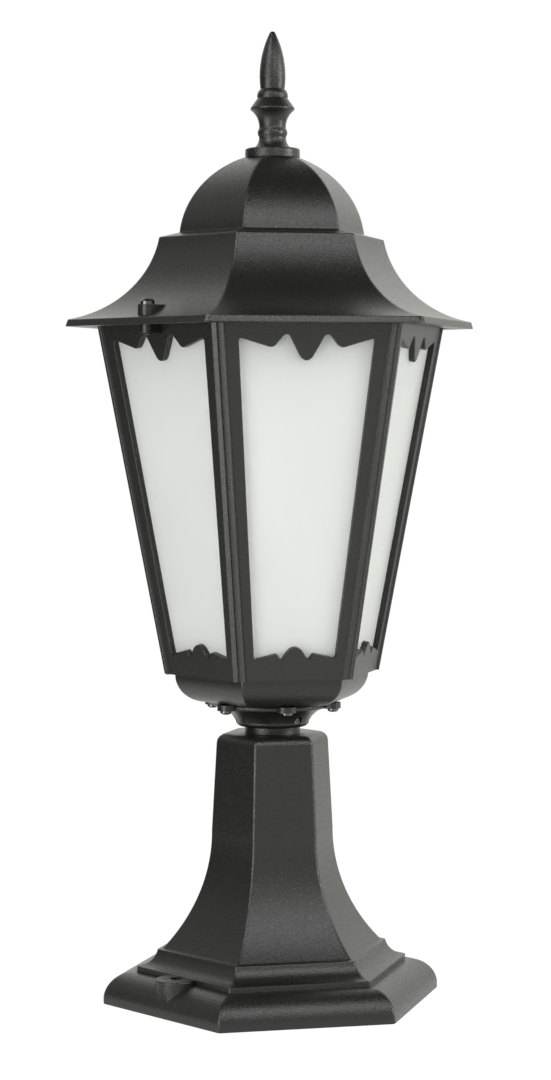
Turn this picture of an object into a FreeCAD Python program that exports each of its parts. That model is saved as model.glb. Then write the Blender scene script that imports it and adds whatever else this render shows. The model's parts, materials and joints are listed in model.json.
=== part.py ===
import FreeCAD, Part
import math
import os
import Sketcher
from types import SimpleNamespace

# Garden post lamp: a hexagonal cast lantern on a low cast pedestal.
# Millimetres, +Z up, origin at the centre of the pedestal's underside.
# The hexagons have two corners on the X axis, so the faces look along 30, 90, 150 degrees and so on.
# A size named corner is a hexagon's corner radius; offset is a distance from the lamp's axis.

SIZES = {
    # Pedestal casting, from the ground up
    "column_foot_corner": 56.6,
    "ledge_out": 2.4,
    "cove_out": 10.6,
    "plinth_out": 16.9,
    "plinth_edge": 3.5,
    "plinth_round": 13.6,
    "plinth_ledge": 1.2,
    "plinth_rise": 15.6,
    "step_rise": 2.7,
    "cove_rise": 8.1,
    "cove_radius": 9.6,
    "flare_rise": 58.6,
    "flare_corner": 31.4,
    "flare_radius": 88.0,
    "shaft_rise": 48.5,
    "shaft_head_corner": 28.9,
    "shaft_round": 4.5,
    "pedestal_wall": 3.5,
    "pedestal_roof": 6.0,
    "spigot_radius": 13.85,
    "spigot_length": 12.5,
    "cable_bore": 8.0,
    "lug_standoff": 4.0,
    "lug_radius": 10.0,
    "lug_wall": 3.5,
    "lug_hole": 3.0,
    "lug_drop": 0.3,
    # Neck socket under the lantern
    "socket_clearance": 0.2,
    "socket_depth": 9.0,
    "socket_roof": 3.5,
    "neck_lip": 1.8,
    "neck_collar": 4.3,
    "neck_collar_rise": 1.8,
    "neck_collar_edge": 0.6,
    "neck_flange_out": 10.1,
    "neck_flange": 2.9,
    "neck_flare_radius": 13.0,
    "neck_screw_offset": 31.5,
    "neck_lug_end": 3.7,
    "neck_lug_width": 9.0,
    "grub_radius": 2.0,
    "grub_rise": 3.4,
    "grub_key": 1.2,
    # Bowl that carries the panels
    "bowl_foot_corner": 34.6,
    "bowl_rise": 14.0,
    "bowl_round": 13.9,
    "bowl_wall": 3.0,
    "bowl_overhang": 5.0,
    "bowl_lip": 7.0,
    "bowl_boss": 3.4,
    "bowl_boss_rise": 8.5,
    # Side panels
    "panel_gap": 0.5,
    "panel_height": 175.8,
    "panel_foot_corner": 54.9,
    "panel_head_corner": 88.86,
    "panel_plate": 3.0,
    "seam_gap": 0.15,
    "rib_inset": 0.8,
    "rib_width": 2.6,
    "rib_height": 1.2,
    # Window in a panel, with its margins to the panel's foot and head
    "window_foot": 10.4,
    "window_head_margin": 10.9,
    "window_foot_half": 20.2,
    "window_head_half": 33.2,
    "head_lobe_outer": 19.0,
    "head_lobe_inner": 14.9,
    "head_lobe_drop": 4.2,
    "head_lobe_turn": 3.1,
    "head_lobe_radius": 3.0,
    "head_notch_outer": 12.4,
    "head_notch_inner": 8.0,
    "head_notch_rise": 0.2,
    "head_notch_radius": 2.4,
    "head_tongue_half": 3.4,
    "head_tongue_drop": 8.2,
    "head_tongue_radius": 3.9,
    "foot_lobe_outer": 10.4,
    "foot_lobe_inner": 8.5,
    "foot_lobe_rise": 2.3,
    "foot_lobe_radius": 1.2,
    "foot_notch_outer": 7.2,
    "foot_notch_inner": 6.2,
    "foot_tongue_half": 4.6,
    "foot_tongue_rise": 2.5,
    "foot_tongue_radius": 5.1,
    # Panes, their clips and the ring behind the panels' heads
    "pane_thickness": 3.0,
    "pane_lap": 3.0,
    "pane_gap": 0.2,
    "clip_width": 8.0,
    "clip_sheet": 0.6,
    "clip_lap": 5.0,
    "ring_height": 8.0,
    # Roof casting
    "lid_depth": 4.1,
    "lid_clearance": 2.2,
    "eaves_out": 15.7,
    "rim_rise": 3.35,
    "rim_draft": 0.7,
    "skirt_rise": 40.85,
    "skirt_radius": 50.0,
    "shoulder_corner": 57.5,
    "shoulder_rise": 2.4,
    "dome_corner": 47.3,
    "dome_rise": 37.4,
    "dome_radius": 45.1,
    "dome_head_corner": 14.9,
    "roof_wall": 3.2,
    "roof_crown": 4.0,
    "boss_standoff": 5.2,
    "boss_radius": 4.4,
    "boss_rise": 9.55,
    "roof_lug_radius": 4.0,
    "roof_lug": 4.0,
    # Finial casting
    "finial_flange_radius": 13.6,
    "finial_flange": 4.6,
    "finial_foot_radius": 9.6,
    "finial_neck_radius": 6.7,
    "finial_flare": 5.7,
    "finial_flare_radius": 6.5,
    "finial_bead": 4.2,
    "finial_bead_radius": 3.5,
    "finial_waist": 8.9,
    "finial_waist_radius": 10.0,
    "finial_disc_radius": 10.6,
    "finial_disc": 1.7,
    "finial_disc_edge": 1.1,
    "finial_cone": 4.3,
    "finial_collar_radius": 7.5,
    "finial_collar": 4.5,
    "finial_collar_round": 4.2,
    "finial_spike_foot": 6.0,
    "finial_spike": 27.9,
    "finial_spike_radius": 48.2,
    "finial_tip": 0.5,
    "finial_tip_half": 1.3,
    "finial_tip_flat": 0.5,
    "finial_tip_round": 1.3,
    # Lampholder and wiring in the bowl
    "strap_foot": 9.0,
    "strap_leg": 20.0,
    "strap_rise": 9.0,
    "strap_sheet": 1.5,
    "strap_width": 14.0,
    "nipple_radius": 5.0,
    "nipple_bore": 3.5,
    "nipple_end": 3.0,
    "nut_corner": 8.0,
    "nut_height": 3.0,
    "holder_radius": 20.0,
    "holder_base_radius": 15.0,
    "holder_base": 4.0,
    "holder_floor": 10.4,
    "holder_height": 40.4,
    "holder_edge": 3.0,
    "shell_radius": 14.4,
    "shell_sheet": 0.6,
    "shell_lip": 5.0,
    "contact_radius": 7.5,
    "contact_rise": 3.0,
    "terminal_length": 26.0,
    "terminal_width": 12.0,
    "terminal_height": 11.0,
    "terminal_offset": 18.0,
    "terminal_pitch": 8.0,
    "earth_offset": 20.0,
    "grommet_flange": 2.5,
    "grommet_sheet": 2.0,
    "grommet_bore": 5.0,
    # Screws, as radii and lengths; fits
    "screw_m3": 1.5,
    "screw_m4": 2.0,
    "screw_m6": 3.0,
    "head_m3": 2.75,
    "head_m4": 3.5,
    "head_m6": 5.8,
    "head_m3_rise": 1.8,
    "head_m4_rise": 2.7,
    "head_m6_rise": 4.0,
    "hex_key": 1.7,
    "hex_key_depth": 1.5,
    "screw_skin": 0.8,
    "finial_thread": 14.0,
    "washer_sheet": 1.2,
    "washer_out": 3.0,
    "fit": 0.05,
    "bore_clearance": 0.2,
}

FACES = range(6)
FACE_STEP = 60.0
FIRST_FACE = 30.0
ROOF_SCREW_FACES = (0, 3)
GRUB_ANGLES = (60.0, 180.0, 300.0)
TERMINAL_POLES = (-1, 0, 1)
COS30 = math.cos(math.radians(30.0))
TAN30 = math.tan(math.radians(30.0))
UP = FreeCAD.Vector(0, 0, 1)
DOWN = FreeCAD.Vector(0, 0, -1)
LEFT = 1
RIGHT = -1

doc = FreeCAD.newDocument("garden_post_lamp")
sheet = doc.addObject("Spreadsheet::Sheet", "Sizes")
for row, (alias, number) in enumerate(SIZES.items(), start=1):
    sheet.set(f"A{row}", alias)
    sheet.set(f"B{row}", str(number))
    sheet.setAlias(f"B{row}", alias)
doc.recompute()


class Size:
    """A length that knows its number and the spreadsheet formula that gives it."""

    def __init__(self, value, formula):
        self.value = value
        self.formula = formula

    def __add__(self, other):
        other = as_size(other)
        return Size(self.value + other.value, f"({self.formula} + {other.formula})")

    def __sub__(self, other):
        other = as_size(other)
        return Size(self.value - other.value, f"({self.formula} - {other.formula})")

    def __mul__(self, other):
        other = as_size(other)
        return Size(self.value * other.value, f"{self.formula} * {other.formula}")

    def __truediv__(self, other):
        other = as_size(other)
        return Size(self.value / other.value, f"{self.formula} / ({other.formula})")

    def __neg__(self):
        return Size(-self.value, f"(0 - {self.formula})")


def as_size(number):
    if isinstance(number, Size):
        return number
    return Size(float(number), f"({float(number)!r})")


def root(size):
    return Size(math.sqrt(size.value), f"sqrt({size.formula})")


ZERO = as_size(0)
dim = SimpleNamespace(**{alias: Size(float(sheet.get(alias)), f"Sizes.{alias}") for alias in SIZES})

# Screws as shank radius, head radius and head height, with the holes that take them
M3 = (dim.screw_m3, dim.head_m3, dim.head_m3_rise)
M4 = (dim.screw_m4, dim.head_m4, dim.head_m4_rise)
hole_m3 = dim.screw_m3 + dim.bore_clearance
hole_m4 = dim.screw_m4 + dim.bore_clearance

# Heights of the stack, each above the ground
step_top = dim.plinth_rise + dim.step_rise
ledge_top = step_top + dim.cove_rise
flare_top = ledge_top + dim.flare_rise
column_top = flare_top + dim.shaft_rise
spigot_top = column_top + dim.spigot_length
neck_foot = spigot_top - dim.socket_depth
bowl_foot = spigot_top + dim.socket_roof
bowl_floor = bowl_foot + dim.bowl_wall
panel_foot = bowl_foot + dim.bowl_rise + dim.panel_gap
panel_top = panel_foot + dim.panel_height
rim_foot = panel_top - dim.lid_depth
rim_top = rim_foot + dim.rim_rise
shoulder_foot = rim_top + dim.skirt_rise
dome_foot = shoulder_foot + dim.shoulder_rise
dome_top = dome_foot + dim.dome_rise

# The panels lean outwards: how far per millimetre of height, and how long a slope is per millimetre
panel_lean = (dim.panel_head_corner - dim.panel_foot_corner) * COS30 / dim.panel_height
panel_slope = root(panel_lean * panel_lean + 1)


def panel_face(height):
    """Offset of a panel's outer face at a height above its foot."""
    return dim.panel_foot_corner * COS30 + panel_lean * height


def panel_back(height):
    """Offset of a panel's back at a height above its foot."""
    return panel_face(height) - dim.panel_plate * panel_slope


def bind(thing, **sizes):
    """Ties properties of an object to the sheet."""
    for name, size in sizes.items():
        thing.setExpression(name, size.formula)


def put(thing, x=ZERO, y=ZERO, z=ZERO):
    """Ties an object's position to the sheet."""
    for axis, size in zip("xyz", (x, y, z)):
        thing.setExpression(f"Placement.Base.{axis}", size.formula)


def around(offset, angle):
    """The x and y of a point at an offset from the axis, in the direction of an angle."""
    turn = math.radians(angle)
    return offset * math.cos(turn), offset * math.sin(turn)


def face_angle(face):
    return FIRST_FACE + FACE_STEP * face


def add(kind, name, **sizes):
    thing = doc.addObject(kind, name)
    bind(thing, **sizes)
    return thing


def cylinder(name, radius, height, x=ZERO, y=ZERO, z=ZERO):
    solid = add("Part::Cylinder", name, Radius=radius, Height=height)
    put(solid, x, y, z)
    return solid


def rod(name, radius, length, start, direction):
    """A cylinder from a point along a direction."""
    solid = add("Part::Cylinder", name, Radius=radius, Height=length)
    solid.Placement = FreeCAD.Placement(start, FreeCAD.Rotation(UP, direction))
    return solid


def fuse(name, *shapes):
    joined = doc.addObject("Part::MultiFuse", name)
    joined.Shapes = list(shapes)
    return joined


def common(name, *shapes):
    shared = doc.addObject("Part::MultiCommon", name)
    shared.Shapes = list(shapes)
    return shared


def cut(name, base, *tools):
    """The base less its tools."""
    rest = doc.addObject("Part::Cut", name)
    rest.Base = base
    rest.Tool = tools[0] if len(tools) == 1 else fuse(name + "_tools", *tools)
    return rest


def group(name, shapes):
    """Separate like solids that share one node."""
    together = doc.addObject("Part::Compound", name)
    together.Links = list(shapes)
    return together


def arc_between(start, end, radius, turn):
    """The short arc of a radius from start to end, turning left or right on its way."""
    chord = end - start
    middle = (start + end) * 0.5
    side = FreeCAD.Vector(-chord.y, chord.x, 0).normalize() * turn
    centre = middle + side * math.sqrt(radius ** 2 - (chord.Length / 2) ** 2)
    circle = Part.Circle(centre, UP, radius)
    first, last = (start, end) if turn == LEFT else (end, start)
    return Part.ArcOfCircle(circle, circle.parameter(first), circle.parameter(last))


def draw(sketch, corners):
    """Draws a closed outline and ties it to the sheet.

    A corner is (across, up), or (across, up, radius, turn) where the edge that leaves it is an arc.
    """
    points = [FreeCAD.Vector(corner[0].value, corner[1].value, 0) for corner in corners]
    first = sketch.GeometryCount
    ends = []
    for index, corner in enumerate(corners):
        start = points[index]
        end = points[(index + 1) % len(points)]
        if len(corner) == 2:
            sketch.addGeometry(Part.LineSegment(start, end), False)
            ends.append((1, 2))
        else:
            sketch.addGeometry(arc_between(start, end, corner[2].value, corner[3]), False)
            ends.append((1, 2) if corner[3] == LEFT else (2, 1))
    for index in range(len(corners)):
        following = (index + 1) % len(corners)
        here = (first + index, ends[index][1])
        there = (first + following, ends[following][0])
        sketch.addConstraint(Sketcher.Constraint("Coincident", *here, *there))
    for index, corner in enumerate(corners):
        start = (first + index, ends[index][0])
        for kind, axis, size in (("DistanceX", -2, corner[0]), ("DistanceY", -1, corner[1])):
            if size is ZERO:
                sketch.addConstraint(Sketcher.Constraint("PointOnObject", *start, axis))
                continue
            number = sketch.addConstraint(Sketcher.Constraint(kind, -1, 1, *start, size.value))
            sketch.setExpression(f"Constraints[{number}]", size.formula)
        if len(corner) > 2:
            number = sketch.addConstraint(Sketcher.Constraint("Radius", first + index, corner[2].value))
            sketch.setExpression(f"Constraints[{number}]", corner[2].formula)
    return sketch


def mirrored(half):
    """A closed outline from its right half, listed from the foot to the head."""
    left = []
    for index in range(len(half) - 1, -1, -1):
        across, up = half[index][:2]
        before = half[index - 1] if index > 0 else ()
        left.append((-across, up) + tuple(before[2:]))
    return list(half) + left


def hexagonal(name, half):
    """A solid with a regular hexagon as its section at every height.

    The half outline gives the offset of the faces at each height, from the foot to the head.
    It is drawn three times, once for each pair of faces, and the three bars that it makes are intersected.
    """
    reach = max((corner[0] for corner in half), key=lambda size: size.value)
    bars = []
    for face in FACES[:3]:
        profile = doc.addObject("Sketcher::SketchObject", f"{name}_profile_{face}")
        draw(profile, mirrored(half))
        upright = FreeCAD.Rotation(FreeCAD.Vector(1, 0, 0), 90)
        turned = FreeCAD.Rotation(UP, face_angle(face))
        profile.Placement = FreeCAD.Placement(FreeCAD.Vector(), turned * upright)
        bar = add("Part::Extrusion", f"{name}_bar_{face}", LengthFwd=reach * 4)
        bar.Base = profile
        bar.DirMode = "Normal"
        bar.Symmetric = True
        bar.Solid = True
        bars.append(bar)
    return common(name, *bars)


def new_body(name):
    return doc.addObject("PartDesign::Body", name)


def new_sketch(body, name, role, *outlines, rise=ZERO):
    """A sketch of closed outlines on an origin plane of its body, raised along the plane's normal."""
    sketch = body.newObject("Sketcher::SketchObject", name)
    plane = next(feature for feature in body.Origin.OriginFeatures if feature.Role == role)
    sketch.AttachmentSupport = [(plane, "")]
    sketch.MapMode = "FlatFace"
    if rise is not ZERO:
        sketch.setExpression("AttachmentOffset.Base.z", rise.formula)
    for outline in outlines:
        draw(sketch, outline)
    return sketch


def revolve(body, name, outline):
    """Turns an outline in the body's XZ plane about its Z axis."""
    sketch = new_sketch(body, name + "_profile", "XZ_Plane", outline)
    turned = body.newObject("PartDesign::Revolution", name)
    turned.Profile = sketch
    turned.ReferenceAxis = (sketch, ["V_Axis"])
    turned.Angle = 360.0
    return turned


def pad(body, name, sketch, length, both_ways=False):
    solid = body.newObject("PartDesign::Pad", name)
    solid.Profile = sketch
    bind(solid, Length=length)
    if both_ways:
        solid.Midplane = True
    return solid


def box(across_low, across_high, up_low, up_high):
    """The outline of a rectangle."""
    return [
        (across_low, up_low),
        (across_high, up_low),
        (across_high, up_high),
        (across_low, up_high),
    ]


def screw(name, kind, length, seat, direction):
    """A screw whose head sits on a point and whose shank goes on from there along a direction."""
    radius, head_radius, head_rise = kind
    shank = rod(name + "_shank", radius, length, seat, direction)
    head = rod(name + "_head", head_radius, head_rise, seat, direction * -1)
    return fuse(name, shank, head)


def point(x, y, z):
    return FreeCAD.Vector(as_size(x).value, as_size(y).value, as_size(z).value)


# Pedestal: a hollow casting, open below, with a round spigot on top and two ground-fixing lugs

foot_face = dim.column_foot_corner * COS30
ledge_face = (dim.column_foot_corner + dim.ledge_out) * COS30
step_face = (dim.column_foot_corner + dim.ledge_out + dim.cove_out) * COS30
plinth_face = (dim.column_foot_corner + dim.ledge_out + dim.cove_out + dim.plinth_out) * COS30
flare_face = dim.flare_corner * COS30
shaft_face = dim.shaft_head_corner * COS30
lug_offset = step_face + dim.lug_standoff
lug_top = step_top - dim.lug_drop


def make_pedestal():
    wall = dim.pedestal_wall
    outside = hexagonal("pedestal_outside", [
        (plinth_face, ZERO),
        (plinth_face, dim.plinth_edge, dim.plinth_round, LEFT),
        (step_face + dim.plinth_ledge, dim.plinth_rise),
        (step_face, dim.plinth_rise),
        (step_face, step_top, dim.cove_radius, RIGHT),
        (ledge_face, ledge_top),
        (foot_face, ledge_top, dim.flare_radius, RIGHT),
        (flare_face, flare_top),
        (shaft_face, column_top - dim.shaft_round, dim.shaft_round, LEFT),
        (shaft_face - dim.shaft_round, column_top),
    ])
    hollow = hexagonal("pedestal_hollow", [
        (plinth_face - wall, ZERO),
        (plinth_face - wall, dim.plinth_edge, dim.plinth_round, LEFT),
        (step_face + dim.plinth_ledge - wall * 0.6, dim.plinth_rise - wall),
        (step_face - wall, dim.plinth_rise - wall),
        (step_face - wall, step_top - wall, dim.cove_radius + wall, RIGHT),
        (ledge_face - wall, ledge_top - wall),
        (foot_face - wall, ledge_top - wall, dim.flare_radius + wall, RIGHT),
        (flare_face - wall, flare_top),
        (shaft_face - wall, column_top - dim.pedestal_roof),
    ])
    shell = cut("pedestal_shell", outside, hollow)
    spigot = cylinder("spigot", dim.spigot_radius, dim.spigot_length + dim.pedestal_roof * 0.5,
                      z=column_top - dim.pedestal_roof * 0.5)
    cable_way = cylinder("spigot_bore", dim.cable_bore, spigot_top, z=dim.plinth_rise)
    lugs = []
    hollows = [cable_way]
    for face in ROOF_SCREW_FACES:
        x, y = around(lug_offset, face_angle(face))
        lugs.append(cylinder(f"ground_lug_{face}", dim.lug_radius, lug_top, x, y))
        hollows.append(cylinder(f"ground_lug_pocket_{face}", dim.lug_radius - dim.lug_wall,
                                lug_top - dim.lug_wall, x, y))
        hollows.append(cylinder(f"ground_lug_hole_{face}", dim.lug_hole, step_top * 2, x, y))
    return cut("pedestal", fuse("pedestal_solid", shell, spigot, *lugs), *hollows)


# Neck socket: a round funnel that stands on the spigot, with a flange and six screw lugs

socket_radius = dim.spigot_radius + dim.socket_clearance
collar_radius = socket_radius + dim.neck_collar
flange_radius = collar_radius + dim.neck_flange_out
neck_top = dim.socket_depth + dim.socket_roof
grommet_radius = dim.cable_bore + dim.grommet_flange


def make_neck():
    body = new_body("neck_body")
    revolve(body, "neck_funnel", [
        (socket_radius, ZERO),
        (socket_radius + dim.neck_lip, ZERO),
        (collar_radius, dim.neck_collar_rise),
        (collar_radius, dim.neck_collar_rise + dim.neck_collar_edge, dim.neck_flare_radius, RIGHT),
        (flange_radius, neck_top - dim.neck_flange),
        (flange_radius, neck_top),
        (grommet_radius + dim.bore_clearance, neck_top),
        (grommet_radius + dim.bore_clearance, neck_top - dim.grommet_sheet),
        (dim.cable_bore, neck_top - dim.grommet_sheet),
        (dim.cable_bore, dim.socket_depth),
        (socket_radius, dim.socket_depth),
    ])
    put(body, z=neck_foot)
    half = dim.neck_lug_width * 0.5
    reach = dim.neck_screw_offset + dim.neck_lug_end
    lugs = []
    holes = []
    for face in FACES:
        lug = add("Part::Box", f"neck_lug_{face}", Length=reach - collar_radius, Width=half * 2,
                  Height=dim.neck_flange)
        turn = FreeCAD.Rotation(UP, face_angle(face))
        corner = point(collar_radius, -half, bowl_foot - dim.neck_flange)
        lug.Placement = FreeCAD.Placement(turn.multVec(corner), turn)
        lugs.append(lug)
        x, y = around(dim.neck_screw_offset, face_angle(face))
        holes.append(cylinder(f"neck_hole_{face}", hole_m3, dim.neck_flange * 2, x, y,
                              bowl_foot - dim.neck_flange * 1.5))
    for angle in GRUB_ANGLES:
        x, y = around(socket_radius, angle)
        outward = point(*around(as_size(1), angle), ZERO)
        holes.append(rod(f"grub_hole_{angle:.0f}", dim.grub_radius + dim.bore_clearance, dim.neck_collar * 2,
                         point(x, y, neck_foot + dim.grub_rise) - outward, outward))
    return cut("neck_socket", fuse("neck_solid", body, *lugs), *holes)


def make_neck_screws():
    """Headless grub screws that bear on the spigot."""
    screws = []
    for angle in GRUB_ANGLES:
        x, y = around(dim.spigot_radius + dim.fit, angle)
        outward = point(*around(as_size(1), angle), ZERO)
        start = point(x, y, neck_foot + dim.grub_rise)
        body = rod(f"grub_{angle:.0f}_rod", dim.grub_radius, dim.neck_collar, start, outward)
        key = add("Part::Prism", f"grub_{angle:.0f}_key", Circumradius=dim.grub_key, Height=dim.neck_collar)
        key.Polygon = 6
        key.Placement = FreeCAD.Placement(start + outward * (dim.neck_collar - dim.hex_key_depth).value,
                                          FreeCAD.Rotation(UP, outward))
        screws.append(cut(f"grub_{angle:.0f}", body, key))
    return group("neck_screws", screws)


# Bowl: a hexagonal cup whose lip stands behind the panels' feet

bowl_rim_face = (dim.panel_foot_corner - dim.bowl_overhang) * COS30
bowl_foot_face = dim.bowl_foot_corner * COS30
lip_top = dim.bowl_rise + dim.panel_gap + dim.bowl_lip


def make_bowl():
    wall = dim.bowl_wall
    lip_run = dim.pane_thickness * panel_slope
    lip_foot = panel_back(ZERO) - dim.fit
    lip_head = panel_back(dim.bowl_lip) - dim.fit
    outside = hexagonal("bowl_outside", [
        (bowl_foot_face, ZERO, dim.bowl_round, LEFT),
        (bowl_rim_face, dim.bowl_rise),
        (lip_foot, dim.bowl_rise + dim.panel_gap),
        (lip_head, lip_top),
    ])
    hollow = hexagonal("bowl_hollow", [
        (bowl_foot_face, wall, dim.bowl_round - wall, LEFT),
        (bowl_rim_face - wall, dim.bowl_rise),
        (lip_foot - lip_run, dim.bowl_rise + dim.panel_gap),
        (lip_head - lip_run, lip_top),
    ])
    cup = cut("bowl_cup", outside, hollow)
    bosses = []
    cable_hole = dim.cable_bore + dim.bore_clearance
    holes = [cylinder("bowl_cable_hole", cable_hole, dim.bowl_wall * 3, z=-dim.bowl_wall)]
    for face in FACES:
        x, y = around(dim.neck_screw_offset, face_angle(face))
        bosses.append(cylinder(f"bowl_boss_{face}", dim.bowl_boss, dim.bowl_boss_rise, x, y))
        holes.append(cylinder(f"bowl_hole_{face}", hole_m3, dim.bowl_boss_rise - dim.screw_skin, x, y))
        holes.append(rod(f"bowl_lip_hole_{face}", hole_m3, dim.bowl_wall * 4,
                         panel_spot(face, foot_screw_rise, dim.bowl_wall * 4) - UP * bowl_foot.value,
                         panel_normal(face)))
    for side in (LEFT, RIGHT):
        holes.append(cylinder(f"strap_hole_{side + 1}", hole_m3, dim.bowl_wall - dim.screw_skin,
                              strap_screw_across * side, ZERO, dim.screw_skin))
    holes.append(cylinder("earth_hole", hole_m4, dim.bowl_wall - dim.screw_skin,
                          ZERO, -dim.earth_offset, dim.screw_skin))
    holes.append(cylinder("terminal_hole", hole_m3, dim.bowl_wall - dim.screw_skin,
                          dim.terminal_pitch * 0.5, dim.terminal_offset, dim.screw_skin))
    bowl = cut("bowl", fuse("bowl_solid", cup, *bosses), *holes)
    put(bowl, z=bowl_foot)
    return bowl


def make_bowl_screws():
    screws = []
    length = dim.neck_flange + dim.bowl_boss_rise - dim.screw_skin * 2
    for face in FACES:
        x, y = around(dim.neck_screw_offset, face_angle(face))
        seat = point(x, y, bowl_foot - dim.neck_flange)
        screws.append(screw(f"bowl_screw_{face}", M3, length, seat, UP))
    return group("bowl_screws", screws)


# Side panels: leaning plates with mitred edges, raised ribs along the seams and a scalloped window



def panel_frame(face):
    """The directions across, up the slope and out of a panel."""
    turn = math.radians(face_angle(face))
    out = FreeCAD.Vector(math.cos(turn), math.sin(turn), 0)
    across = UP.cross(out)
    up_slope = (UP + out * panel_lean.value).normalize()
    return across, up_slope, across.cross(up_slope)


def panel_normal(face):
    return panel_frame(face)[2]


def panel_place(face):
    """Placement of a panel: its foot's middle on its outer face, X across, Y up the slope, Z out."""
    across, up_slope, normal = panel_frame(face)
    x, y = around(panel_face(ZERO), face_angle(face))
    return FreeCAD.Placement(point(x, y, panel_foot), FreeCAD.Rotation(across, up_slope, normal, "XYZ"))


window_head = dim.panel_height - dim.window_head_margin


def up_slope_to(height, depth=ZERO):
    """How far up a panel's slope a height above its foot is reached, at a depth behind its face."""
    return height * panel_slope - depth * panel_lean


def panel_spot(face, up_slope, depth):
    """A point on a panel's middle line, given up its slope and by its depth behind the face."""
    return panel_place(face).multVec(point(ZERO, up_slope, -depth))


screw_depth = dim.panel_plate + dim.pane_thickness * 0.5
foot_screw_rise = up_slope_to(dim.bowl_lip * 0.5, screw_depth)
head_screw_rise = up_slope_to(dim.panel_height - dim.ring_height * 0.5, screw_depth)


def seam_half(height):
    """Half the width between a panel's two seams, at a height above its foot."""
    return dim.panel_foot_corner * 0.5 + panel_lean * height * TAN30 - dim.seam_gap


def trapezium(foot_half, head_half, foot, head):
    return [(foot_half, foot), (head_half, head), (-head_half, head), (-foot_half, foot)]


def window_outline():
    """The window, up its right side and down its left; lobes and tongues hang into it from both ends."""
    foot = up_slope_to(dim.window_foot)
    head = up_slope_to(window_head)
    lobe_turn = head - dim.head_lobe_drop
    notch = head + dim.head_notch_rise
    tongue = head - dim.head_tongue_drop
    foot_lobe = foot + dim.foot_lobe_rise
    foot_tongue = foot + dim.foot_tongue_rise
    upper_right = [
        (dim.window_foot_half, foot),
        (dim.window_head_half, head),
        (dim.head_lobe_outer, lobe_turn, dim.head_lobe_radius, RIGHT),
        (dim.head_lobe_inner, head - dim.head_lobe_turn),
        (dim.head_notch_outer, notch, dim.head_notch_radius, LEFT),
        (dim.head_notch_inner, notch),
        (dim.head_tongue_half, tongue, dim.head_tongue_radius, RIGHT),
    ]
    upper_left = [
        (-dim.head_tongue_half, tongue),
        (-dim.head_notch_inner, notch, dim.head_notch_radius, LEFT),
        (-dim.head_notch_outer, notch),
        (-dim.head_lobe_inner, head - dim.head_lobe_turn, dim.head_lobe_radius, RIGHT),
        (-dim.head_lobe_outer, lobe_turn),
        (-dim.window_head_half, head),
        (-dim.window_foot_half, foot),
    ]
    lower_left = [
        (-dim.foot_lobe_outer, foot_lobe, dim.foot_lobe_radius, RIGHT),
        (-dim.foot_lobe_inner, foot_lobe),
        (-dim.foot_notch_outer, foot),
        (-dim.foot_notch_inner, foot),
        (-dim.foot_tongue_half, foot_tongue, dim.foot_tongue_radius, RIGHT),
    ]
    lower_right = [
        (dim.foot_tongue_half, foot_tongue),
        (dim.foot_notch_inner, foot),
        (dim.foot_notch_outer, foot),
        (dim.foot_lobe_inner, foot_lobe, dim.foot_lobe_radius, RIGHT),
        (dim.foot_lobe_outer, foot_lobe),
    ]
    return upper_right + upper_left + lower_left + lower_right


def rib_outline(side):
    """The outline of the raised rib along one seam."""
    foot = seam_half(ZERO) - dim.rib_inset
    head = seam_half(dim.panel_height) - dim.rib_inset
    length = dim.panel_height * panel_slope
    return [
        (foot * side, ZERO),
        (head * side, length),
        ((head - dim.rib_width) * side, length),
        ((foot - dim.rib_width) * side, ZERO),
    ]


def make_panel(face):
    name = f"side_panel_{face + 1}"
    body = new_body(name + "_body")
    length = dim.panel_height * panel_slope
    mitre = dim.panel_plate * TAN30
    level = dim.panel_plate * panel_lean
    foot_half = seam_half(ZERO)
    head_half = seam_half(dim.panel_height)
    front = new_sketch(body, name + "_front", "XY_Plane", trapezium(foot_half, head_half, ZERO, length))
    back_outline = trapezium(foot_half - mitre, head_half - mitre, -level, length - level)
    back = new_sketch(body, name + "_back", "XY_Plane", back_outline, rise=-dim.panel_plate)
    plate = body.newObject("PartDesign::AdditiveLoft", name + "_plate")
    plate.Profile = front
    plate.Sections = [back]
    plate.Ruled = True
    ribs = new_sketch(body, name + "_ribs", "XY_Plane", rib_outline(LEFT), rib_outline(RIGHT))
    pad(body, name + "_rib_pad", ribs, dim.rib_height)
    window = new_sketch(body, name + "_window", "XY_Plane", window_outline())
    opening = body.newObject("PartDesign::Pocket", name + "_opening")
    opening.Profile = window
    opening.Type = "ThroughAll"
    body.Placement = panel_place(face)
    holes = []
    for label, rise in (("foot", foot_screw_rise), ("head", head_screw_rise)):
        start = panel_spot(face, rise, dim.panel_plate * 2)
        holes.append(rod(f"{name}_{label}_hole", hole_m3, dim.panel_plate * 2 - dim.screw_skin,
                         start, panel_normal(face)))
    if face not in ROOF_SCREW_FACES:
        return cut(name, body, *holes)
    lug, lug_hole = make_roof_lug(face)
    return cut(name, fuse(name + "_solid", body, *lug), lug_hole, *holes)


roof_screw_offset = panel_face(dim.panel_height - dim.lid_depth) + dim.boss_standoff
roof_lug_top = rim_foot - dim.fit


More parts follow.
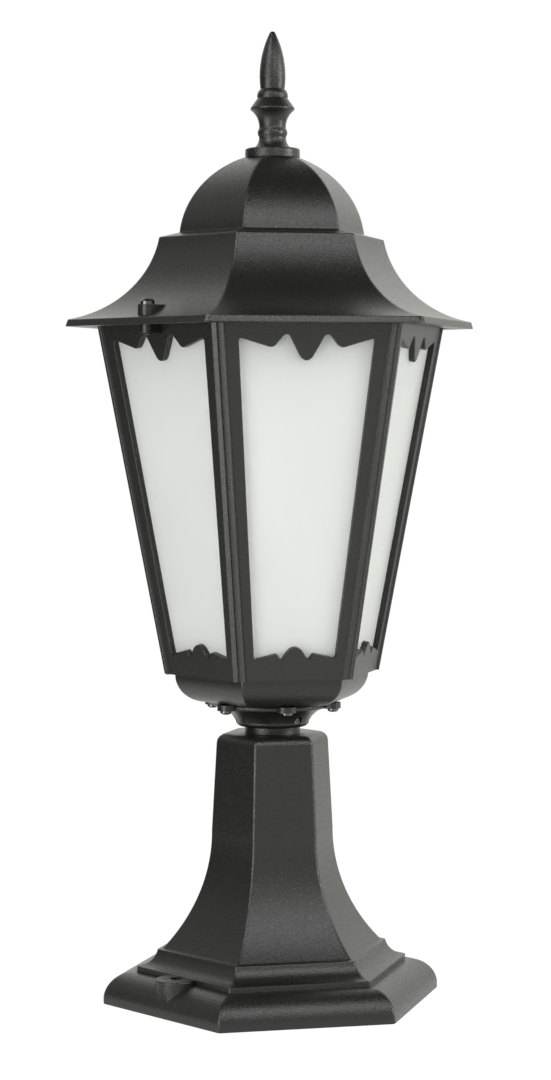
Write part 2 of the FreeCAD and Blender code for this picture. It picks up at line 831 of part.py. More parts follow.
def make_roof_lug(face):
    """The lug under the eaves that takes a roof screw, and the screw's hole."""
    angle = face_angle(face)
    low = roof_lug_top - dim.roof_lug
    root_offset = panel_face(dim.panel_height - dim.lid_depth) - dim.panel_plate * 0.6
    half = dim.roof_lug_radius
    bar = add("Part::Box", f"roof_lug_bar_{face}", Length=roof_screw_offset - root_offset, Width=half * 2,
              Height=dim.roof_lug)
    turn = FreeCAD.Rotation(UP, angle)
    bar.Placement = FreeCAD.Placement(turn.multVec(point(root_offset, -half, low)), turn)
    x, y = around(roof_screw_offset, angle)
    end = cylinder(f"roof_lug_end_{face}", half, dim.roof_lug, x, y, low)
    hole = cylinder(f"roof_lug_hole_{face}", hole_m4, dim.roof_lug * 3, x, y, low - dim.roof_lug)
    return (bar, end), hole


# Panes and clips: glass behind each window, level with the bowl's lip below and the ring above

pane_foot = dim.bowl_lip + dim.pane_gap
pane_head = dim.panel_height - dim.ring_height - dim.pane_gap


def window_half(height):
    """Half the window's width at a height above the panel's foot, read along its straight sides."""
    taper = (dim.window_head_half - dim.window_foot_half) / (window_head - dim.window_foot)
    return dim.window_foot_half + taper * (height - dim.window_foot)


def make_pane(face):
    name = f"pane_{face + 1}"
    body = new_body(name)
    front = dim.panel_plate + dim.fit
    back = front + dim.pane_thickness
    outline = trapezium(window_half(pane_foot) + dim.pane_lap, window_half(pane_head) + dim.pane_lap,
                        up_slope_to(pane_foot, front), up_slope_to(pane_head, back))
    glass = new_sketch(body, name + "_outline", "XY_Plane", outline, rise=-back)
    pad(body, name + "_glass", glass, dim.pane_thickness)
    body.Placement = panel_place(face)
    return body


def make_clip(face, label, low, high, screw_rise):
    """A flat spring strip under a panel screw, bearing on the edge of the pane."""
    name = f"{label}_clip_{face}"
    body = new_body(name + "_body")
    half = dim.clip_width * 0.5
    back = dim.panel_plate + dim.pane_thickness + dim.fit * 2
    strip = box(-half, half, up_slope_to(low, back), up_slope_to(high, back))
    outline = new_sketch(body, name + "_outline", "XY_Plane", strip, rise=-(back + dim.clip_sheet))
    pad(body, name + "_strip", outline, dim.clip_sheet)
    body.Placement = panel_place(face)
    start = panel_spot(face, screw_rise, back + dim.clip_sheet * 2)
    hole = rod(name + "_hole", hole_m3, dim.clip_sheet * 3, start, panel_normal(face))
    return cut(name, body, hole)


def make_clips():
    clips = []
    for face in FACES:
        clips.append(make_clip(face, "foot", dim.clip_sheet, pane_foot + dim.clip_lap, foot_screw_rise))
        clips.append(make_clip(face, "head", pane_head - dim.clip_lap, dim.panel_height - dim.clip_sheet,
                               head_screw_rise))
    return group("pane_clips", clips)


def make_panel_screws(name, rise):
    """Screws from inside, through a clip and the bowl's lip or the ring, into each panel's back."""
    depth = dim.panel_plate + dim.pane_thickness + dim.clip_sheet + dim.fit * 3
    screws = []
    for face in FACES:
        seat = panel_spot(face, rise, depth)
        screws.append(screw(f"{name}_{face}", M3, depth - dim.screw_skin * 1.5, seat, panel_normal(face)))
    return group(name, screws)


def make_ring():
    """The hexagonal band behind the panels' heads."""
    low = dim.panel_height - dim.ring_height
    high = dim.panel_height - dim.fit
    run = dim.pane_thickness * panel_slope
    outside = hexagonal("ring_outside", [
        (panel_back(low) - dim.fit, low),
        (panel_back(high) - dim.fit, high),
    ])
    inside = hexagonal("ring_inside", [
        (panel_back(low) - dim.fit - run, low),
        (panel_back(high) - dim.fit - run, high),
    ])
    holes = []
    for face in FACES:
        start = panel_spot(face, head_screw_rise, dim.panel_plate * 4) - UP * panel_foot.value
        holes.append(rod(f"ring_hole_{face}", hole_m3, dim.panel_plate * 4, start, panel_normal(face)))
    ring = cut("top_ring", outside, inside, *holes)
    put(ring, z=panel_foot)
    return ring


# Roof: one casting with a flat rim, a concave skirt, a shoulder and a convex dome

rim_face = (dim.panel_head_corner + dim.eaves_out) * COS30
rim_top_face = rim_face - dim.rim_draft * COS30
shoulder_face = dim.shoulder_corner * COS30
dome_face = dim.dome_corner * COS30
dome_head_face = dim.dome_head_corner * COS30
roof_shoulder = dim.rim_rise + dim.skirt_rise
roof_dome = roof_shoulder + dim.shoulder_rise
roof_head = roof_dome + dim.dome_rise


def make_roof():
    wall = dim.roof_wall
    seat = dim.lid_depth + dim.fit
    recess_face = panel_face(dim.panel_height) + dim.lid_clearance
    hollow_face = panel_back(dim.panel_height) - dim.pane_thickness * 0.5
    outside = hexagonal("roof_outside", [
        (rim_face, ZERO),
        (rim_top_face, dim.rim_rise, dim.skirt_radius, RIGHT),
        (shoulder_face, roof_shoulder),
        (dome_face, roof_dome, dim.dome_radius, LEFT),
        (dome_head_face, roof_head),
    ])
    recess = hexagonal("roof_recess", [
        (recess_face, -dim.lid_depth),
        (recess_face, seat),
    ])
    hollow = hexagonal("roof_hollow", [
        (hollow_face, seat - wall),
        (hollow_face, seat + wall * 0.6, dim.skirt_radius + wall, RIGHT),
        (shoulder_face - wall, roof_shoulder - wall * 0.5),
        (dome_face - wall, roof_dome - wall * 0.5, dim.dome_radius - wall, LEFT),
        (dome_head_face, roof_head - dim.roof_crown),
    ])
    bosses = []
    holes = [recess, hollow]
    boss_low = dim.rim_rise * 0.5
    for face in ROOF_SCREW_FACES:
        angle = face_angle(face)
        x, y = around(roof_screw_offset, angle)
        height = dim.boss_rise - boss_low
        bosses.append(cylinder(f"roof_boss_{face}", dim.boss_radius, height, x, y, boss_low))
        tail = add("Part::Box", f"roof_boss_tail_{face}", Length=roof_screw_offset - hollow_face,
                   Width=dim.boss_radius * 2, Height=height)
        turn = FreeCAD.Rotation(UP, angle)
        corner = point(hollow_face, -dim.boss_radius, boss_low)
        tail.Placement = FreeCAD.Placement(turn.multVec(corner), turn)
        bosses.append(tail)
        holes.append(cylinder(f"roof_screw_hole_{face}", hole_m4, dim.boss_rise * 2, x, y, -dim.lid_depth))
    holes.append(cylinder("finial_bolt_hole", dim.screw_m6 + dim.bore_clearance, dim.roof_crown * 3,
                          z=roof_head - dim.roof_crown * 2))
    roof = cut("roof", fuse("roof_solid", outside, *bosses), *holes)
    put(roof, z=rim_foot)
    return roof


def make_roof_screws():
    """Cap screws with hexagon sockets that hold the roof to the lugs."""
    screws = []
    length = dim.boss_rise + dim.roof_lug + dim.fit + dim.screw_skin
    for face in ROOF_SCREW_FACES:
        x, y = around(roof_screw_offset, face_angle(face))
        seat = point(x, y, rim_foot + dim.boss_rise)
        solid = screw(f"roof_screw_{face}_blank", M4, length, seat, DOWN)
        key = add("Part::Prism", f"roof_screw_key_{face}", Circumradius=dim.hex_key, Height=dim.head_m4_rise)
        key.Polygon = 6
        put(key, x, y, rim_foot + dim.boss_rise + dim.head_m4_rise - dim.hex_key_depth)
        screws.append(cut(f"roof_screw_{face}", solid, key))
    return group("roof_screws", screws)


# Finial: one casting with a flange, beads, a disc and a spike

def make_finial():
    flare = dim.finial_flange + dim.finial_flare
    bead = flare + dim.finial_bead
    disc = bead + dim.finial_waist
    disc_top = disc + dim.finial_disc
    collar = disc_top + dim.finial_cone
    spike = collar + dim.finial_collar
    spike_top = spike + dim.finial_spike
    thread = dim.finial_thread
    bore = dim.screw_m6 + dim.bore_clearance
    body = new_body("finial")
    revolve(body, "finial_turning", [
        (bore, ZERO),
        (dim.finial_flange_radius, ZERO),
        (dim.finial_flange_radius, dim.finial_flange - dim.finial_disc_edge * 0.5),
        (dim.finial_flange_radius - dim.finial_disc_edge * 0.5, dim.finial_flange),
        (dim.finial_foot_radius, dim.finial_flange, dim.finial_flare_radius, RIGHT),
        (dim.finial_neck_radius, flare, dim.finial_bead_radius, LEFT),
        (dim.finial_neck_radius, bead, dim.finial_waist_radius, RIGHT),
        (dim.finial_disc_radius, disc, dim.finial_disc_edge, LEFT),
        (dim.finial_disc_radius, disc_top),
        (dim.finial_collar_radius, collar, dim.finial_collar_round, LEFT),
        (dim.finial_spike_foot, spike, dim.finial_spike_radius, LEFT),
        (dim.finial_tip_half, spike_top, dim.finial_tip_round, LEFT),
        (dim.finial_tip_flat, spike_top + dim.finial_tip),
        (ZERO, spike_top + dim.finial_tip),
        (ZERO, thread),
        (bore, thread - bore * 0.5),
    ])
    put(body, z=dome_top)
    return body


def make_finial_bolt():
    length = dim.roof_crown + dim.washer_sheet + dim.finial_thread - dim.screw_m6 * 1.5
    seat = point(ZERO, ZERO, dome_top - dim.roof_crown - dim.washer_sheet - dim.fit)
    shank = rod("finial_bolt_shank", dim.screw_m6, length, seat, UP)
    head = add("Part::Prism", "finial_bolt_head", Circumradius=dim.head_m6, Height=dim.head_m6_rise)
    head.Polygon = 6
    put(head, z=dome_top - dim.roof_crown - dim.washer_sheet - dim.fit - dim.head_m6_rise)
    return fuse("finial_bolt", shank, head)


def ring_of(name, outer, inner, height, z):
    """A flat round ring."""
    body = new_body(name)
    revolve(body, name + "_turning", box(inner, outer, ZERO, height))
    put(body, z=z)
    return body


# Lampholder on its strap, with the wiring terminals, all on the bowl's floor

strap_screw_across = dim.strap_leg + dim.strap_foot * 0.5
strap_top = dim.strap_rise + dim.strap_sheet
holder_foot = strap_top + dim.nut_height + dim.fit * 2
nut_stack = dim.nut_height * 2 + dim.strap_sheet
nipple_hole = dim.nipple_radius + dim.bore_clearance
washer_foot = dome_top - dim.roof_crown - dim.washer_sheet - dim.fit
bolt_hole = dim.screw_m6 + dim.bore_clearance


def make_strap():
    """A bent strip with two feet, two legs and a flat top."""
    body = new_body("holder_strap_body")
    sheet_metal = dim.strap_sheet
    toe = dim.strap_leg + dim.strap_foot
    right = [
        (toe, ZERO),
        (toe, sheet_metal),
        (dim.strap_leg, sheet_metal),
        (dim.strap_leg, strap_top),
    ]
    left = [(-across, up) for across, up in reversed(right)]
    under = [
        (-(dim.strap_leg - sheet_metal), ZERO),
        (-(dim.strap_leg - sheet_metal), dim.strap_rise),
        (dim.strap_leg - sheet_metal, dim.strap_rise),
        (dim.strap_leg - sheet_metal, ZERO),
    ]
    outline = new_sketch(body, "strap_outline", "XZ_Plane", right + left + under)
    pad(body, "strap_pad", outline, dim.strap_width, both_ways=True)
    holes = [cylinder("strap_nipple_hole", nipple_hole, strap_top * 2, z=dim.strap_sheet)]
    for side in (LEFT, RIGHT):
        holes.append(cylinder(f"strap_foot_hole_{side + 1}", hole_m3, dim.strap_sheet * 3,
                              strap_screw_across * side, ZERO, -dim.strap_sheet))
    strap = cut("holder_strap", body, *holes)
    put(strap, z=bowl_floor)
    return strap


def make_strap_screws():
    screws = []
    length = dim.strap_sheet + dim.bowl_wall - dim.screw_skin * 1.5
    for side in (LEFT, RIGHT):
        seat = point(strap_screw_across * side, ZERO, bowl_floor + dim.strap_sheet)
        screws.append(screw(f"strap_screw_{side + 1}", M3, length, seat, DOWN))
    return group("strap_screws", screws)


def make_nuts():
    """The two locknuts that hold the nipple to the strap."""
    nuts = []
    for label, low in (("lower", dim.strap_rise - dim.nut_height), ("upper", strap_top)):
        block = add("Part::Prism", f"nut_{label}_block", Circumradius=dim.nut_corner, Height=dim.nut_height)
        block.Polygon = 6
        put(block, z=bowl_floor + low)
        bore = cylinder(f"nut_{label}_bore", nipple_hole, dim.nut_height * 3,
                        z=bowl_floor + low - dim.nut_height)
        nuts.append(cut(f"nut_{label}", block, bore))
    return group("holder_nuts", nuts)


def make_holder_body():
    """The porcelain body, bored for the threaded shell."""
    body = new_body("holder_body")
    bore = nipple_hole
    cup = dim.shell_radius + dim.bore_clearance
    revolve(body, "holder_turning", [
        (bore, ZERO),
        (dim.holder_base_radius, ZERO),
        (dim.holder_base_radius, dim.holder_base),
        (dim.holder_radius, dim.holder_floor),
        (dim.holder_radius, dim.holder_height - dim.holder_edge, dim.holder_edge * 1.1, LEFT),
        (dim.holder_radius - dim.holder_edge, dim.holder_height),
        (cup, dim.holder_height),
        (cup, dim.holder_floor),
        (bore, dim.holder_floor),
    ])
    put(body, z=bowl_floor + holder_foot)
    return body


def make_holder_shell():
    """The screw shell, a thin cup with a lip at its foot; its thread is left plain."""
    body = new_body("holder_shell")
    outer = dim.shell_radius
    inner = dim.shell_radius - dim.shell_sheet
    height = dim.holder_height - dim.holder_floor - dim.holder_edge
    revolve(body, "shell_turning", [
        (inner - dim.shell_lip + dim.shell_sheet, ZERO),
        (outer, ZERO),
        (outer, height),
        (inner, height),
        (inner, dim.shell_sheet),
        (inner - dim.shell_lip + dim.shell_sheet, dim.shell_sheet),
    ])
    put(body, z=bowl_floor + holder_foot + dim.holder_floor + dim.fit)
    return body


def make_contact():
    """The sprung centre contact, domed in the middle."""
    body = new_body("holder_contact")
    sheet_metal = dim.shell_sheet
    dome = dim.contact_radius * 0.5
    revolve(body, "contact_turning", [
        (ZERO, dim.contact_rise),
        (dome * 0.6, dim.contact_rise),
        (dome, sheet_metal),
        (dim.contact_radius, sheet_metal),
        (dim.contact_radius, ZERO),
        (dome, ZERO),
        (dome * 0.6, dim.contact_rise - sheet_metal),
        (ZERO, dim.contact_rise - sheet_metal),
    ])
    put(body, z=bowl_floor + holder_foot + dim.holder_floor + dim.fit)
    return body


def make_terminal():
    """A three-pole terminal block, bored along for the wires and from above for its screws."""
    block = add("Part::Box", "terminal_blank", Length=dim.terminal_length, Width=dim.terminal_width,
                Height=dim.terminal_height)
    put(block, -dim.terminal_length * 0.5, dim.terminal_offset - dim.terminal_width * 0.5, bowl_floor)
    holes = []
    for pole in TERMINAL_POLES:
        start = point(dim.terminal_pitch * pole, dim.terminal_offset - dim.terminal_width,
                      bowl_floor + dim.terminal_height * 0.45)
        holes.append(rod(f"terminal_way_{pole + 1}", dim.screw_m3 * 1.2, dim.terminal_width * 2, start,
                         FreeCAD.Vector(0, 1, 0)))
        for end in (LEFT, RIGHT):
            holes.append(cylinder(f"terminal_screw_hole_{pole + 1}_{end + 1}", hole_m3,
                                  dim.terminal_height, dim.terminal_pitch * pole,
                                  dim.terminal_offset + dim.terminal_width * 0.3 * end,
                                  bowl_floor + dim.terminal_height * 0.5))
    holes.append(cylinder("terminal_fixing_hole", hole_m3, dim.terminal_height * 3,
                          dim.terminal_pitch * 0.5, dim.terminal_offset, bowl_floor - dim.terminal_height))
    return cut("terminal_block", block, *holes)


def make_terminal_screws():
    screws = []
    for pole in TERMINAL_POLES:
        for end in (LEFT, RIGHT):
            screws.append(cylinder(f"terminal_screw_{pole + 1}_{end + 1}", dim.screw_m3,
                                   dim.terminal_height * 0.3, dim.terminal_pitch * pole,
                                   dim.terminal_offset + dim.terminal_width * 0.3 * end,
                                   bowl_floor + dim.terminal_height * 0.6))
    return group("terminal_screws", screws)


def make_terminal_fixing():
    seat = point(dim.terminal_pitch * 0.5, dim.terminal_offset, bowl_floor + dim.terminal_height)
    length = dim.terminal_height + dim.bowl_wall - dim.screw_skin * 1.5
    return screw("terminal_fixing_screw", M3, length, seat, DOWN)


def make_earth_screw():
    seat = point(ZERO, -dim.earth_offset, bowl_floor)
    return screw("earth_screw", M4, dim.bowl_wall - dim.screw_skin * 1.5, seat, DOWN)


def make_grommet():
    """A rubber grommet in the bowl's cable hole, with a flange on each side of the floor."""
    body = new_body("cable_grommet")
    sheet_metal = dim.bowl_wall
    flange = grommet_radius
    lip = dim.grommet_sheet - dim.fit * 2
    revolve(body, "grommet_turning", [
        (dim.grommet_bore, -lip),
        (flange, -lip),
        (flange, -dim.fit),
        (dim.cable_bore, -dim.fit),
        (dim.cable_bore, sheet_metal + dim.fit),
        (flange, sheet_metal + dim.fit),
        (flange, sheet_metal + lip),
        (dim.grommet_bore, sheet_metal + lip),
    ])
    put(body, z=bowl_foot)
    return body


lamp = {
    "pedestal": make_pedestal(),
    "neck_socket": make_neck(),
    "neck_screws": make_neck_screws(),
    "bowl": make_bowl(),
    "bowl_screws": make_bowl_screws(),
    "cable_grommet": make_grommet(),
    "holder_strap": make_strap(),
    "strap_screws": make_strap_screws(),
    "holder_nipple": ring_of("holder_nipple", dim.nipple_radius, dim.nipple_bore,
                             dim.nipple_end * 2 + nut_stack,
                             bowl_floor + dim.strap_rise - dim.nut_height - dim.nipple_end),
    "holder_nuts": make_nuts(),
    "holder_body": make_holder_body(),
    "holder_shell": make_holder_shell(),
    "holder_contact": make_contact(),
    "terminal_block": make_terminal(),
    "terminal_screws": make_terminal_screws(),
    "terminal_fixing_screw": make_terminal_fixing(),
    "earth_screw": make_earth_screw(),
    "panel_foot_screws": make_panel_screws("panel_foot_screws", foot_screw_rise),
    "top_ring": make_ring(),
    "panel_head_screws": make_panel_screws("panel_head_screws", head_screw_rise),
    "pane_clips": make_clips(),
    "roof": make_roof(),
    "roof_screws": make_roof_screws(),
    "finial": make_finial(),
    "finial_bolt": make_finial_bolt(),
    "finial_washer": ring_of("finial_washer", dim.head_m6 + dim.washer_out, bolt_hole, dim.washer_sheet,
                             washer_foot),
}
for face in FACES:
    lamp[f"side_panel_{face + 1}"] = make_panel(face)
    lamp[f"pane_{face + 1}"] = make_pane(face)

for node, piece in lamp.items():
    piece.Label = node
doc.recompute()

for thing in doc.Objects:
    if "Invalid" in thing.State or "Error" in thing.State:
        raise RuntimeError(f"{thing.Label} failed: {thing.State}")
for node, piece in lamp.items():
    if piece.Shape.isNull() or not piece.Shape.isValid():
        raise RuntimeError(f"{node} has no valid shape")

os.makedirs("parts", exist_ok=True)
for node, piece in lamp.items():
    piece.Shape.exportStep(f"parts/{node}.step")
    print(f"{node}: {len(piece.Shape.Solids)} solids, {piece.Shape.Volume / 1000:.2f} cm3")
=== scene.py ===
# %% [markdown]
# This lesson dresses a garden post lamp: a hexagonal lantern of cast aluminium with frosted panes and a
# domed roof, on a flared pedestal. The CAD model gives the frame, and every visible casting and screw is
# modelled again here with the soft edges and small details of the real one.

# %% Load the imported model
import json
from math import asin, copysign, cos, pi, radians, sin, sqrt, tan

import bmesh
import bpy
from mathutils import Matrix, Vector


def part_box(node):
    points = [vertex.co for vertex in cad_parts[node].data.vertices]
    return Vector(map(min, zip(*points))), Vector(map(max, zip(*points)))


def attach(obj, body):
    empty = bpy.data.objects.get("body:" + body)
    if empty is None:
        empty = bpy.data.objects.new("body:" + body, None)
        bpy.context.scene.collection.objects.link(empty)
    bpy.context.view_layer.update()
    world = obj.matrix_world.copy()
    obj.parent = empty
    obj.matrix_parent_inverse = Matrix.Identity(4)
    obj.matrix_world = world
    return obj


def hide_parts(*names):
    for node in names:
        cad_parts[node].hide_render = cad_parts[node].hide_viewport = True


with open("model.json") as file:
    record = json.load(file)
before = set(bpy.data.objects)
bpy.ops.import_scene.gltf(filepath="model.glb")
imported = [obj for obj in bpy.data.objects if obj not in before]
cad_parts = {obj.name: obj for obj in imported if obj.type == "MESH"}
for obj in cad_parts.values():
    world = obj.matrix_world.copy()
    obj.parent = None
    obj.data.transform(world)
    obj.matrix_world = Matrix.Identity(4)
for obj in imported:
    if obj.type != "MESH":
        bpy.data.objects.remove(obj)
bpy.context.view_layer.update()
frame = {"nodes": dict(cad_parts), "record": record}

print("nodes in the frame:", len(frame["nodes"]))

# %% [markdown]
# A founder's drawing is in millimetres, and Blender's scene is in metres. The pieces are drawn in
# millimetres and scaled once, when their mesh is finished. Heights and reaches that the frame knows are
# read from its boxes, so that a piece sits where its node is. Two spots closer than NEAR count as one.

# %% Millimetres, and a node's box in them
MM = 0.001
NEAR = 0.01


def node_box(node):
    """The lowest and the highest corner of a node, in millimetres."""
    low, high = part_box(node)
    return Vector(low) / MM, Vector(high) / MM


print("the lamp is", round(node_box("finial")[1].z, 1), "mm high")

# %% [markdown]
# Nearly every casting here is a drawn profile carried round the axis: round for the neck and the finial,
# six-sided for the pedestal, the bowl and the roof. A profile needs few points if its round stretches
# are arcs, so a corner is written as (offset, height), and a third number gives the radius of the arc
# that leaves it: above zero where the metal bulges, below zero where it is hollowed.

# %% Profiles with arcs
ARC_STEP = 1.6


def arc_points(start, end, radius, step=ARC_STEP):
    """The points between the two ends of an arc, left of the chord's middle when radius is above zero."""
    side = copysign(1.0, radius)
    chord = end - start
    left = Vector((-chord.y, chord.x)).normalized() * side
    centre = (start + end) / 2 + left * sqrt(radius ** 2 - chord.length_squared / 4)
    turn = 2 * asin(chord.length / (2 * abs(radius))) * side
    count = max(3, round(abs(turn * radius) / step))
    return [centre + Matrix.Rotation(turn * i / count, 2) @ (start - centre) for i in range(1, count)]


def profile_points(corners, step=ARC_STEP):
    """All the points of a profile, with its arcs divided."""
    points = []
    for here, after in zip(corners, corners[1:]):
        start = Vector(here[:2])
        points.append(start)
        if len(here) == 3:
            points.extend(arc_points(start, Vector(after[:2]), here[2], step))
    points.append(Vector(corners[-1][:2]))
    return points


print("a quarter circle of 10 mm becomes", len(profile_points([(10, 0, 10), (0, 10)])), "points")

# %% [markdown]
# A six-sided wall starts as one hexagon from create_circle. Extruding its edges and scaling the new ring
# to the next point of the profile raises the wall station by station, as a potter pulls a pot up. The
# faces stay flat across and follow the profile upward. bridge_loops joins two rings where a wall turns
# inward or changes from six-sided to round.

# %% Rings and walls
SIDES = 6
ROUND = 48
CORNER_REACH = 1 / cos(pi / SIDES)


def ring_edges(verts):
    """The edges whose two ends are both among the vertices, in the same order on every run."""
    chosen = set(verts)
    edges = [edge for vert in verts for edge in vert.link_edges if set(edge.verts) <= chosen]
    return list(dict.fromkeys(edges))


def hexagon(bm, offset, height):
    """A six-sided ring with corners on +X and -X, whose sides lie offset from the axis."""
    place = Matrix.Translation((0, 0, height)) @ Matrix.Rotation(pi / 2, 4, "Z")
    made = bmesh.ops.create_circle(bm, segments=SIDES, radius=offset * CORNER_REACH, matrix=place)
    return ring_edges(made["verts"])


def circle(bm, radius, height, count=ROUND):
    """A round ring about the axis."""
    place = Matrix.Translation((0, 0, height))
    made = bmesh.ops.create_circle(bm, segments=count, radius=radius, matrix=place)
    return ring_edges(made["verts"])


def carry(bm, ring, scale, rise):
    """Extrude a ring of edges to a new size and height, and return the new ring."""
    grown = bmesh.ops.extrude_edge_only(bm, edges=ring)["geom"]
    verts = [part for part in grown if isinstance(part, bmesh.types.BMVert)]
    bmesh.ops.scale(bm, vec=(scale, scale, 1), verts=verts)
    bmesh.ops.translate(bm, vec=(0, 0, rise), verts=verts)
    return ring_edges(verts)


def hex_wall(bm, corners):
    """A six-sided wall along a profile, open at both ends."""
    points = profile_points(corners)
    ring = hexagon(bm, points[0].x, points[0].y)
    for here, after in zip(points, points[1:]):
        ring = carry(bm, ring, after.x / here.x, after.y - here.y)


def open_rings(bm, height):
    """The open rings of edges at a height, from the innermost to the outermost."""
    left = [edge for edge in bm.edges if len(edge.link_faces) < 2
            and all(abs(vert.co.z - height) < NEAR for vert in edge.verts)]
    rings = []
    while left:
        ring = [left.pop()]
        for edge in ring:
            near = [other for vert in edge.verts for other in vert.link_edges if other in left]
            left = [other for other in left if other not in near]
            ring.extend(near)
        rings.append(ring)
    return sorted(rings, key=lambda ring: max(edge.verts[0].co.xy.length for edge in ring))


def close_ring(bm, height):
    """Bridge the two rings that are open at a height."""
    inner, outer = open_rings(bm, height)
    bmesh.ops.bridge_loops(bm, edges=inner + outer)


print("a hexagon reaches", round(CORNER_REACH, 3), "times as far at its corners as at its sides")

# %% [markdown]
# Cast edges are never knife-sharp: sand cannot hold such an edge, and powder coat creeps off it. The six
# long corners get a rounding of about a millimetre, and the ledges a smaller one. The corners are found
# by their place, both ends being in line with the axis, and the ledges by the angle between their faces.

# %% Softened edges
CORNER_ROUNDING = 1.1
CORNER_STEPS = 3
LEDGE_ROUNDING = 0.45
FINE_ROUNDING = 0.3
LEDGE_STEPS = 2
LEDGE_ANGLE = radians(26)


def soften(bm, edges, width, segments):
    """Round edges by a bevel of a given width."""
    return bmesh.ops.bevel(bm, geom=edges, offset=width, offset_type="OFFSET", segments=segments,
                           profile=0.5, affect="EDGES", clamp_overlap=False, material=-1)


def runs_up_a_corner(edge):
    """True for an edge whose two ends are in line with the axis."""
    low, high = edge.verts
    return abs(low.co.xy.cross(high.co.xy)) < NEAR


def soften_corners(bm, width=CORNER_ROUNDING):
    soften(bm, [edge for edge in bm.edges if runs_up_a_corner(edge)], width, CORNER_STEPS)


def sharp_edges(bm):
    """The edges between two faces that meet at more than the ledge angle."""
    return [edge for edge in bm.edges if edge.is_manifold and edge.calc_face_angle(0) > LEDGE_ANGLE]


def soften_ledges(bm, width=LEDGE_ROUNDING):
    soften(bm, sharp_edges(bm), width, LEDGE_STEPS)


print("corners are rounded by", CORNER_ROUNDING, "mm and ledges by", LEDGE_ROUNDING, "mm")

# %% [markdown]
# Lugs and bosses grow out of a casting and holes go through it. A Boolean modifier does both, and its
# result is taken at once as the new mesh, so that no helper object is left. Faces that meet at less than
# the smoothing angle are shaded as one surface, and weighted normals keep the large flats flat.

# %% From bmesh to a finished piece
SMOOTH_BELOW = radians(32)


def to_object(bm, name):
    """A linked object from a bmesh drawn in millimetres."""
    bmesh.ops.scale(bm, vec=(MM, MM, MM), verts=bm.verts)
    bmesh.ops.recalc_face_normals(bm, faces=bm.faces)
    mesh = bpy.data.meshes.new(name)
    bm.to_mesh(mesh)
    bm.free()
    piece = bpy.data.objects.new(name, mesh)
    bpy.context.scene.collection.objects.link(piece)
    return piece


def boolean(piece, bm, operation):
    """Join the solids of a bmesh to a piece, or cut them out of it."""
    tool = to_object(bm, "tool")
    step = piece.modifiers.new(operation, "BOOLEAN")
    step.operation = operation
    step.solver = "EXACT"
    step.object = tool
    graph = bpy.context.evaluated_depsgraph_get()
    result = bpy.data.meshes.new_from_object(piece.evaluated_get(graph))
    piece.modifiers.clear()
    piece.data = result
    bpy.data.objects.remove(tool)


def dress(piece, finish, slot, *nodes):
    """Give a piece its finish and smooth shading, and let it stand for its nodes."""
    piece.data.materials.clear()
    piece.data.materials.append(finish)
    piece.data.shade_smooth()
    piece.data.set_sharp_from_angle(angle=SMOOTH_BELOW)
    flats = piece.modifiers.new("flat_faces", "WEIGHTED_NORMAL")
    flats.keep_sharp = True
    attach(piece, "root")
    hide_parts(*nodes)
    print(piece.name, "has", len(piece.data.polygons), "faces")


print("faces that meet at less than", round(SMOOTH_BELOW, 2), "radians are shaded as one")

# %% [markdown]
# The finishes come next. A material reads Object coordinates, which are the lamp's own metres, so grain
# keeps its true scale on every piece. Small helpers make the nodes that all of them share: a noise of a
# given grain, a spread of that noise between two values, and a bump of a given depth.

# %% Helpers for finishes
NOISE_LOW = 0.3
NOISE_HIGH = 0.7


def new_finish(name):
    """A material with its node tree and its shader."""
    finish = bpy.data.materials.new(name)
    finish.use_nodes = True
    return finish, finish.node_tree, finish.node_tree.nodes["Principled BSDF"]


def grain(tree, size, detail=3.0):
    """A noise whose grains are about `size` millimetres wide."""
    place = tree.nodes.new("ShaderNodeTexCoord")
    noise = tree.nodes.new("ShaderNodeTexNoise")
    noise.inputs["Scale"].default_value = 1 / (size * MM)
    noise.inputs["Detail"].default_value = detail
    tree.links.new(place.outputs["Object"], noise.inputs["Vector"])
    return noise.outputs["Fac"]


def spread(tree, source, low, high):
    """Map the middle of a noise to the values from low to high."""
    ramp = tree.nodes.new("ShaderNodeMapRange")
    ramp.inputs["From Min"].default_value = NOISE_LOW
    ramp.inputs["From Max"].default_value = NOISE_HIGH
    ramp.inputs["To Min"].default_value = low
    ramp.inputs["To Max"].default_value = high
    tree.links.new(source, ramp.inputs["Value"])
    return ramp.outputs["Result"]


def two_tones(tree, shader, source, dark, light):
    """Colour a surface between two tones by a noise."""
    mix = tree.nodes.new("ShaderNodeMix")
    mix.data_type = "RGBA"
    tree.links.new(source, mix.inputs["Factor"])
    mix.inputs["A"].default_value = (*dark, 1)
    mix.inputs["B"].default_value = (*light, 1)
    tree.links.new(mix.outputs["Result"], shader.inputs["Base Color"])


def relief(tree, shader, sources, depth):
    """Bump a surface by noises, each `depth` millimetres deep, one laid over the other."""
    bump = None
    for source in sources:
        over = tree.nodes.new("ShaderNodeBump")
        over.inputs["Strength"].default_value = 1.0
        over.inputs["Distance"].default_value = depth * MM
        tree.links.new(source, over.inputs["Height"])
        if bump:
            tree.links.new(bump.outputs["Normal"], over.inputs["Normal"])
        bump = over
    tree.links.new(bump.outputs["Normal"], shader.inputs["Normal"])


print("noise is used between", NOISE_LOW, "and", NOISE_HIGH, "where most of it lies")

# %% [markdown]
# Charcoal powder coat covers all the castings. Baked powder flows out into a satin skin with a fine
# pebbled grain: two grain sizes of bump, a roughness that varies a little, and a colour just above black.

